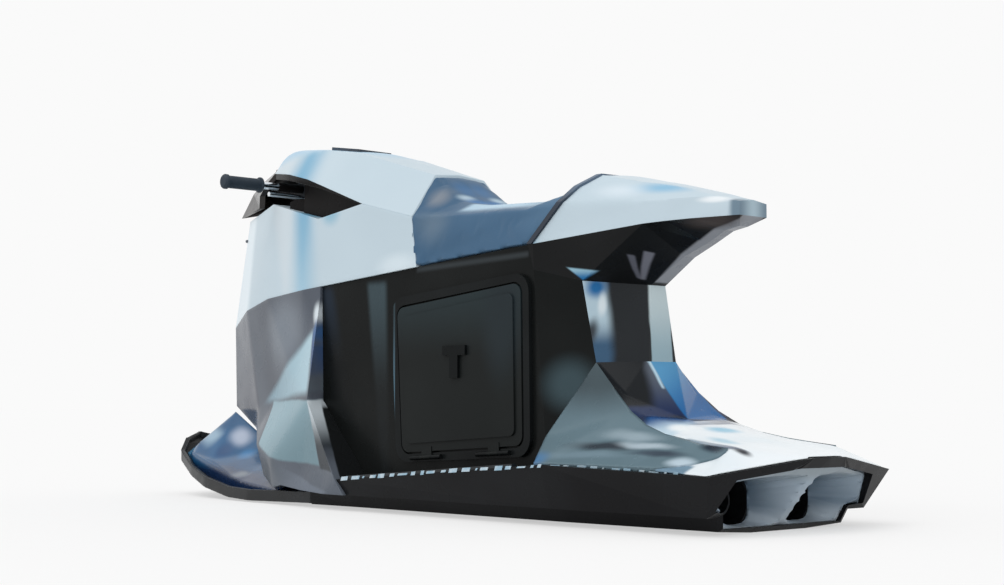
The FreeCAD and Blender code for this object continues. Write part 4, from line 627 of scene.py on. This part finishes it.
def closed(form, rings):
    """Closes rings of points into a solid, with walls between them and a cap at each end."""
    for first, second in zip(rings, rings[1:]):
        for k in range(len(first)):
            form.faces.new((first[k], first[k - 1], second[k - 1], second[k]))
    form.faces.new(rings[0])
    form.faces.new(rings[-1][::-1])


def joined_form(name):
    """A node's faces as a form with its corners joined."""
    form = bmesh.new()
    form.from_mesh(NODES[name].data)
    bmesh.ops.remove_doubles(form, verts=form.verts, dist=JOIN_DISTANCE)
    return form


# Pressed skins: the faceted nodes with their shallow creases rounded

def refined(name, step):
    """A node's faces as a form of small, even triangles that keeps its own edges."""
    form = joined_form(name)
    bmesh.ops.dissolve_limit(form, angle_limit=FLAT_ANGLE, verts=form.verts, edges=form.edges)
    bmesh.ops.triangulate(form, faces=form.faces)
    for _ in range(HALVINGS):
        edges = [edge for edge in form.edges if edge.calc_length() > step]
        bmesh.ops.subdivide_edges(form, edges=edges, cuts=1)
        bmesh.ops.triangulate(form, faces=[face for face in form.faces if len(face.verts) > 3])
    return form


def nowhere(point):
    """A rule that holds for no point."""
    return False


def relaxed(form, crisp, rounds, free, pinned):
    """Rounds a form's creases; crisp edges outside the free region stay where they are."""
    form.verts.index_update()
    points = np.array([vert.co for vert in form.verts])
    pairs = np.array([[vert.index for vert in edge.verts] for edge in form.edges])
    held = np.array([pinned(vert.co) for vert in form.verts], bool)
    for edge in form.edges:
        sharp = edge.calc_face_angle(0.0) > math.radians(crisp)
        if sharp and not all(free(vert.co) for vert in edge.verts):
            for vert in edge.verts:
                held[vert.index] = True
    first, second = pairs[:, 0], pairs[:, 1]
    size = len(points)
    count = np.bincount(pairs.ravel(), minlength=size)[:, None]
    moving = (~held)[:, None] * RELAX_SHARE
    for _ in range(rounds):
        total = np.stack([np.bincount(first, points[second, axis], size)
                          + np.bincount(second, points[first, axis], size)
                          for axis in range(3)], 1)
        points += moving * (total / count - points)
    for vert, point in zip(form.verts, points):
        vert.co = point
    return form


def skin(name, node, step, crisp, rounds, width=0, free=nowhere, pinned=nowhere, shift=None):
    """A node's form with soft creases, in place of its faceted solid."""
    form = relaxed(refined(node, step), crisp, rounds, free, pinned)
    if shift:
        for vert in form.verts:
            vert.co = shift(vert.co)
    piece = piece_from(name, meshed(name, form), "hull", SLOT_OF[node])
    smooth(piece, crisp)
    if width:
        soft_edges(piece, width, crisp)
    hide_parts(node)


HOOD_FRONT_X, HOOD_TOP_Z = 0.40, 1.035
DECK_FLAT_X = -0.93
RIM_KEEL_Y, RIM_END_X = 0.002, 0.33
TAIL_HALF_WIDTH, TAIL_CROWN = 0.14, 0.009
TAIL_TIP_X, TAIL_TIP_RUN = -1.04, 0.2
TAIL_EDGE_Z, TAIL_EDGE_RUN = 0.74, 0.04


def on_hood_top(point):
    """Holds on the top of the hood's front half, where all creases are rounded."""
    return point.z > HOOD_TOP_Z and point.x > HOOD_FRONT_X


def on_flat_deck(point):
    """Holds behind the crisp facets of the deck, where all creases are rounded."""
    return point.x < DECK_FLAT_X


def at_rim_end(point):
    """Holds at both ends of a half of the rim, which stay where they are."""
    return abs(point.y) < RIM_KEEL_Y or point.x < RIM_END_X


def crowned(point):
    """Raises the middle of the tail's top a little, and leaves its tip and its sides."""
    middle = max(0.0, 1 - (point.y / TAIL_HALF_WIDTH) ** 2)
    share = middle * grown(point.x, TAIL_TIP_X, TAIL_TIP_RUN)
    return point + UP * TAIL_CROWN * share * grown(point.z, TAIL_EDGE_Z, TAIL_EDGE_RUN)


skin("hood_skin", "cowl_hood", step=0.012, crisp=40, rounds=40, width=0.004, free=on_hood_top)
skin("cowl_skin", "cowl_lower", step=0.012, crisp=60, rounds=50, width=0.004)
skin("tail_skin", "tail_cowl", step=0.010, crisp=40, rounds=12, width=0.004, shift=crowned)
skin("fairing_skin", "front_fairing", step=0.012, crisp=45, rounds=10, width=0.003)
skin("prow_skin", "prow_cap", step=0.010, crisp=50, rounds=8)
skin("deck_skin", "aft_deck", step=0.010, crisp=14, rounds=14, free=on_flat_deck)
skin("liner_skin", "stern_liner", step=0.008, crisp=62, rounds=8, width=0.003)
for side, _ in SIDES:
    skin("rim_skin_" + side, "bow_rim_" + side, step=0.006, crisp=100, rounds=7,
         pinned=at_rim_end)
    skin("well_skin_" + side, "footwell_" + side, step=0.010, crisp=50, rounds=30)


# Seat

SEAT_SHRINK = 0.0015
SEAT_VOXEL = 0.006
SEAT_RELAX_SHARE, SEAT_RELAX_ROUNDS = 0.5, 4
CLOTH_PRESSURE = 4.0
CLOTH_QUALITY = 5
CLOTH_FRAMES = 20
CLOTH_CAP = 0.005
SEAT_FRONT_X, SEAT_FRONT_RUN = -0.11, 0.035
SEAT_TOP_Z, SEAT_TOP_RUN = 0.78, 0.08
SEAT_FRONT_MOVE, SEAT_FRONT_WIDENING = 0.010, 0.035
SEAT_SHARP_ANGLE = 70


def remeshed(seat):
    """Takes the seat's form in a little and gives it an even cloth mesh."""
    shrink = seat.modifiers.new("shrink", "DISPLACE")
    shrink.mid_level = 0.0
    shrink.strength = -SEAT_SHRINK
    remesh = seat.modifiers.new("remesh", "REMESH")
    remesh.mode = "VOXEL"
    remesh.voxel_size = SEAT_VOXEL
    relax = seat.modifiers.new("relax", "SMOOTH")
    relax.factor = SEAT_RELAX_SHARE
    relax.iterations = SEAT_RELAX_ROUNDS
    applied(seat)


def swollen(seat):
    """Swells the seat as cloth under pressure, with no point moved past the cap."""
    start = [vert.co.copy() for vert in seat.data.vertices]
    cloth = seat.modifiers.new("swell", "CLOTH")
    cloth.settings.use_pressure = True
    cloth.settings.uniform_pressure_force = CLOTH_PRESSURE
    cloth.settings.quality = CLOTH_QUALITY
    cloth.settings.effector_weights.gravity = 0.0
    cloth.point_cache.frame_start = 1
    cloth.point_cache.frame_end = CLOTH_FRAMES
    scene = bpy.context.scene
    for number in range(1, CLOTH_FRAMES + 1):
        scene.frame_set(number)
    applied(seat)
    scene.frame_set(1)
    for vert, old in zip(seat.data.vertices, start):
        move = vert.co - old
        if move.length > CLOTH_CAP:
            vert.co = old + move * (CLOTH_CAP / move.length)


def met_with_hood(seat):
    """Moves the seat's front end forwards, outwards and up, to meet the hood."""
    for vert in seat.data.vertices:
        share = grown(vert.co.x, SEAT_FRONT_X, SEAT_FRONT_RUN)
        rise = share * grown(vert.co.z, SEAT_TOP_Z, SEAT_TOP_RUN)
        vert.co.x += SEAT_FRONT_MOVE * share
        vert.co.y *= 1 + SEAT_FRONT_WIDENING * share
        vert.co.z += SEAT_FRONT_MOVE * rise


def make_seat():
    """The upholstered seat: a form slightly smaller than its solid, swollen as cloth."""
    mesh = meshed("seat_pad", joined_form("seat_cushion"))
    seat = piece_from("seat_pad", mesh, "hull", "seat_slate")
    remeshed(seat)
    swollen(seat)
    met_with_hood(seat)
    divide = seat.modifiers.new("divide", "SUBSURF")
    divide.levels = divide.render_levels = 1
    applied(seat)
    smooth(seat, SEAT_SHARP_ANGLE)
    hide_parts("seat_cushion")


make_seat()


# Handlebar: ribbed grips and a sleeve in the middle

TURNED_SIDES = 40
TURNED_SHARP_ANGLE = 50
BAR_X, BAR_Z = 0.669, 0.945
SLEEVE_STATIONS = [(-0.121, 0.0114), (-0.119, 0.0128), (0.119, 0.0128), (0.121, 0.0114)]
GRIP_RADIUS, RIB_RADIUS = 0.0178, 0.0188
RIBS = 22
RIBS_START_SHARE, RIBS_RUN_SHARE = 0.11, 0.72
RIB_STATIONS = [(0.0, GRIP_RADIUS), (0.008, RIB_RADIUS), (0.022, RIB_RADIUS),
                (0.030, GRIP_RADIUS)]
FLANGE_STATIONS = [(0.0, 0.0118), (0.0, 0.021), (0.008, 0.0235), (0.035, 0.0235),
                   (0.045, 0.0215), (0.05, 0.0185), (0.10, GRIP_RADIUS)]
END_STATIONS = [(0.86, GRIP_RADIUS), (0.885, 0.0205), (0.90, 0.0222), (0.955, 0.0222),
                (0.975, 0.0205), (0.985, 0.0165), (1.0, 0.0150), (1.0, 0.004)]


def turned(name, stations, body, slot):
    """A turned piece round the handlebar's axis, from (place, radius) stations."""
    form = bmesh.new()
    rings = []
    for place, radius in stations:
        turns = [2 * math.pi * k / TURNED_SIDES for k in range(TURNED_SIDES)]
        rings.append([form.verts.new((BAR_X + radius * math.cos(turn), place,
                                      BAR_Z + radius * math.sin(turn))) for turn in turns])
    closed(form, rings)
    bmesh.ops.recalc_face_normals(form, faces=form.faces)
    piece = piece_from(name, meshed(name, form), body, slot)
    smooth(piece, TURNED_SHARP_ANGLE)
    return piece


def make_grip(side, sign):
    """A ribbed rubber grip with a flange at its inner end and a rounded outer end."""
    low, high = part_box("grip_" + side)
    inner, outer = (low[1], high[1]) if sign > 0 else (high[1], low[1])
    ribs = [(RIBS_START_SHARE + RIBS_RUN_SHARE * k / RIBS + share, radius)
            for k in range(RIBS) for share, radius in RIB_STATIONS]
    stations = [(inner + share * (outer - inner), radius)
                for share, radius in FLANGE_STATIONS + ribs + END_STATIONS]
    piece = turned("grip_skin_" + side, stations, "steering", "grip_rubber")
    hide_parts("grip_" + side)


for side, sign in SIDES:
    make_grip(side, sign)
turned("bar_sleeve", SLEEVE_STATIONS, "steering", "slot_black")


# Slot in the hood: a glossy dark band along its upper edge, and the dark sill inside

EDGE_POINTS = [(0.157, 0.200, 0.843), (0.361, 0.190, 0.915), (0.439, 0.180, 0.941),
               (0.572, 0.150, 0.970), (0.683, 0.120, 0.987), (0.765, 0.060, 1.010),
               (0.828, 0.000, 1.027)]
HOOD_MIDDLE_X = 0.3
SIDE_WEIGHT = 3
BAND_OUTER, BAND_LOWER, BAND_INNER, BAND_TOP = -0.003, -0.0035, -0.012, 0.002
BAND_TIP_DROP, BAND_DROP = 0.003, 0.015
BAND_TIP_SHARE = 1 / 3
BAND_SHARP_ANGLE = 45
BAND_BEVEL, BAND_BEVEL_ANGLE = 0.001, 40
SILL_CORNERS = [(0.505, -0.125, 0.80), (0.60, -0.115, 0.80), (0.60, -0.115, 0.892),
                (0.575, -0.118, 0.900), (0.505, -0.125, 0.895)]
SILL_WIDTH = 0.24
SILL_BEVEL = 0.004
PLATE_BEVEL_ANGLE = 30


def outwards(before, point, after):
    """The level direction across a path that points away from the hood's middle."""
    along = (Vector(after) - Vector(before)).normalized()
    out = along.cross(UP).normalized()
    away = Vector((point[0] - HOOD_MIDDLE_X, point[1] * SIDE_WEIGHT, 0))
    return -out if out.dot(away) < 0 else out


def band_section(share):
    """The band's section, as outward and upward sizes: it narrows towards the slot's tips."""
    from_tip = 1 - abs(2 * share - 1)
    drop = BAND_TIP_DROP + BAND_DROP * min(1.0, from_tip / BAND_TIP_SHARE)
    return [(BAND_OUTER, BAND_TOP), (BAND_LOWER, -drop), (BAND_INNER, -drop),
            (BAND_INNER, BAND_TOP)]


def make_slot_band():
    """The band from the slot's starboard tip round the front to its port tip."""
    path = [(x, -y, z) for x, y, z in EDGE_POINTS] + EDGE_POINTS[-2::-1]
    last = len(path) - 1
    form = bmesh.new()
    rings = []
    for k, point in enumerate(path):
        out = outwards(path[max(k - 1, 0)], point, path[min(k + 1, last)])
        rings.append([form.verts.new(Vector(point) + out * across + UP * rise)
                      for across, rise in band_section(k / last)])
    closed(form, rings)
    bmesh.ops.recalc_face_normals(form, faces=form.faces)
    piece = piece_from("slot_band", meshed("slot_band", form), "hull", "slot_black")
    smooth(piece, BAND_SHARP_ANGLE)
    soft_edges(piece, BAND_BEVEL, BAND_BEVEL_ANGLE)


def slab(form, corners, depth):
    """Adds a slab to a form: a face of corners in order, and its depth as a vector."""
    closed(form, [[form.verts.new(Vector(corner)) for corner in corners],
                  [form.verts.new(Vector(corner) + depth) for corner in corners]])


def make_slot_sill():
    """The dark sill inside the slot, between its lining and the bar."""
    form = bmesh.new()
    slab(form, SILL_CORNERS, Vector((0, SILL_WIDTH, 0)))
    bmesh.ops.recalc_face_normals(form, faces=form.faces)
    piece = piece_from("slot_sill", meshed("slot_sill", form), "hull", "slot_black")
    soft_edges(piece, SILL_BEVEL, PLATE_BEVEL_ANGLE)


make_slot_band()
make_slot_sill()


# Gunwale: short pale plates in a broken line along the hull's upper edge: painted glints of
# light on its seam

GUNWALE = [(0.118, 0.3015, 0.0865), (0.077, 0.3030, 0.0900), (-0.061, 0.3080, 0.1000),
           (-0.230, 0.3150, 0.1130), (-0.389, 0.3210, 0.1250), (-0.540, 0.3270, 0.1340),
           (-0.612, 0.3300, 0.1380), (-0.682, 0.3320, 0.1430), (-0.741, 0.3240, 0.1440),
           (-0.792, 0.3150, 0.1430), (-0.920, 0.3140, 0.1400), (-1.042, 0.3170, 0.1360),
           (-1.137, 0.3270, 0.1350)]
DASHES_START, DASHES_END = 0.004, 1.22
DASH_LENGTH, DASH_LENGTH_SWING, DASH_LENGTH_RIPPLE = 0.024, 0.012, 0.006
DASH_HALF_HEIGHT, DASH_HEIGHT_SWING = 0.0042, 0.0014
DASH_GAP, DASH_GAP_SWING = 0.018, 0.008
DASH_THICKNESS = 0.0016
DASH_LEAN = Vector((0.004, 0, 0))
DASH_BEVEL = 0.0005
LENGTH_PACE, RIPPLE_PACE, HEIGHT_PACE, GAP_PACE = 2.3, 5.1, 1.7, 3.7
HEIGHT_START = 1
LONG_DASHES = 16
SHORT_LENGTH_SHARE, SHORT_HEIGHT_SHARE = 0.8, 0.75


def on_line(points, distance):
    """The place and direction at a distance along a line of points."""
    for start, end in zip(points, points[1:]):
        line = Vector(end) - Vector(start)
        if distance <= line.length or end is points[-1]:
            way = line.normalized()
            return Vector(start) + way * min(distance, line.length), way
        distance -= line.length


def dash_sizes(k):
    """The length, half height and following gap of a plate, which vary along the line."""
    length = (DASH_LENGTH + DASH_LENGTH_SWING * math.sin(k * LENGTH_PACE)
              + DASH_LENGTH_RIPPLE * math.cos(k * RIPPLE_PACE))
    half_height = (DASH_HALF_HEIGHT
                   + DASH_HEIGHT_SWING * math.sin(k * HEIGHT_PACE + HEIGHT_START))
    if k > LONG_DASHES:
        length *= SHORT_LENGTH_SHARE
        half_height *= SHORT_HEIGHT_SHARE
    return length, half_height, DASH_GAP + DASH_GAP_SWING * math.sin(k * GAP_PACE)


def make_dashes(side, sign):
    """The broken line's plates, of unequal lengths and gaps, on one side."""
    form = bmesh.new()
    place, k = DASHES_START, 0
    while place < DASHES_END:
        length, half_height, gap = dash_sizes(k)
        start, way = on_line(GUNWALE, place)
        end = start + way * length
        rise = UP * half_height
        corners = [start - rise, end - rise, end - DASH_LEAN + rise, start - DASH_LEAN + rise]
        slab(form, [Vector((corner.x, corner.y * sign, corner.z)) for corner in corners],
             Vector((0, sign * DASH_THICKNESS, 0)))
        place += length + gap
        k += 1
    bmesh.ops.recalc_face_normals(form, faces=form.faces)
    name = "gunwale_dashes_" + side
    piece = piece_from(name, meshed(name, form), "hull", "strip_blue", DASH_BLUE)
    soft_edges(piece, DASH_BEVEL, PLATE_BEVEL_ANGLE)


for side, sign in SIDES:
    make_dashes(side, sign)


# Floor, light and camera

SHOWN = 0.956
SKY = 0.72
SUN = 1.15
SUN_RISE = math.radians(58)
SUN_TURN = math.radians(100)
SUN_SPREAD = math.radians(50)
FLOOR_REACH = 60.0
FLOOR_DROP = 0.0005
FLOOR_SHARE = 0.42
FLOOR_BOUNCE = 0.86
FLOOR_ROUGHNESS = 0.9
FLOOR_LIGHT = SKY * SHOWN + SUN / math.pi * math.sin(SUN_RISE)
CAMERA_PLACE = (-3.536, 3.134, 0.287)
CAMERA_YAW = math.radians(-43.2)
CAMERA_PITCH = math.radians(3.76)
CAMERA_LENS = 60.96
CAMERA_SENSOR = 36.0
CAMERA_REACH = 500


def direction(turn, rise):
    """The direction at a turn about the upright axis and a rise over the level."""
    return Vector((math.cos(turn) * math.cos(rise), math.sin(turn) * math.cos(rise),
                   math.sin(rise)))


def aimed(thing, way):
    """Turns a lamp or camera to look along a direction, and adds it to the scene."""
    thing.rotation_mode = "QUATERNION"
    thing.rotation_quaternion = way.to_track_quat("-Z", "Y")
    bpy.context.scene.collection.objects.link(thing)


def shown_rays(tree):
    """1 for the rays that show the background, and 0 for those that only light the object."""
    path = tree.nodes.new("ShaderNodeLightPath")
    seen = calculated(tree, "MAXIMUM", path.outputs["Is Camera Ray"],
                      path.outputs["Is Glossy Ray"])
    return calculated(tree, "MAXIMUM", seen, path.outputs["Is Transmission Ray"])


def make_stage():
    """A pale floor that meets the background without a line and keeps the object's shadow."""
    mesh = bpy.data.meshes.new("floor")
    corners = [(x * FLOOR_REACH, y * FLOOR_REACH, 0)
               for x, y in ((-1, -1), (1, -1), (1, 1), (-1, 1))]
    mesh.from_pydata(corners, [], [(0, 1, 2, 3)])
    floor = bpy.data.objects.new("floor", mesh)
    floor.location.z = -FLOOR_DROP
    bpy.context.scene.collection.objects.link(floor)
    material = bpy.data.materials.new("floor")
    material.use_nodes = True
    tree = material.node_tree
    shader = tree.nodes["Principled BSDF"]
    shader.inputs["Roughness"].default_value = FLOOR_ROUGHNESS
    shader.inputs["Specular IOR Level"].default_value = 0.0
    shader.inputs["Emission Color"].default_value = (1, 1, 1, 1)
    shown = shown_rays(tree)
    base = mixed(tree, shown, grey(FLOOR_BOUNCE), grey(FLOOR_SHARE))
    glow = calculated(tree, "MULTIPLY", shown, SHOWN - FLOOR_SHARE * FLOOR_LIGHT)
    tree.links.new(base, shader.inputs["Base Color"])
    tree.links.new(glow, shader.inputs["Emission Strength"])
    mesh.materials.append(material)


def make_world():
    """A soft white studio all round, a little darker for the light that falls on the object."""
    world = bpy.data.worlds.new("studio")
    bpy.context.scene.world = world
    world.use_nodes = True
    tree = world.node_tree
    background = tree.nodes["Background"]
    strength = tree.nodes.new("ShaderNodeMapRange")
    strength.inputs["To Min"].default_value = SKY
    strength.inputs["To Max"].default_value = 1.0
    tree.links.new(shown_rays(tree), strength.inputs["Value"])
    background.inputs["Color"].default_value = grey(SHOWN) + (1,)
    tree.links.new(strength.outputs["Result"], background.inputs["Strength"])


def make_sun():
    """A wide, soft lamp from high above the port side."""
    data = bpy.data.lights.new("sun", "SUN")
    data.energy = SUN
    data.angle = SUN_SPREAD
    aimed(bpy.data.objects.new("sun", data), -direction(SUN_TURN, SUN_RISE))


def make_camera():
    """The photograph's view: from the port quarter, low, looking a little up."""
    data = bpy.data.cameras.new("camera")
    data.sensor_fit = "HORIZONTAL"
    data.sensor_width = CAMERA_SENSOR
    data.lens = CAMERA_LENS
    data.clip_end = CAMERA_REACH
    camera = bpy.data.objects.new("camera", data)
    camera.location = CAMERA_PLACE
    aimed(camera, direction(CAMERA_YAW, CAMERA_PITCH))
    bpy.context.scene.camera = camera


make_stage()
make_world()
make_sun()
make_camera()
bpy.context.scene.view_settings.view_transform = "Standard"
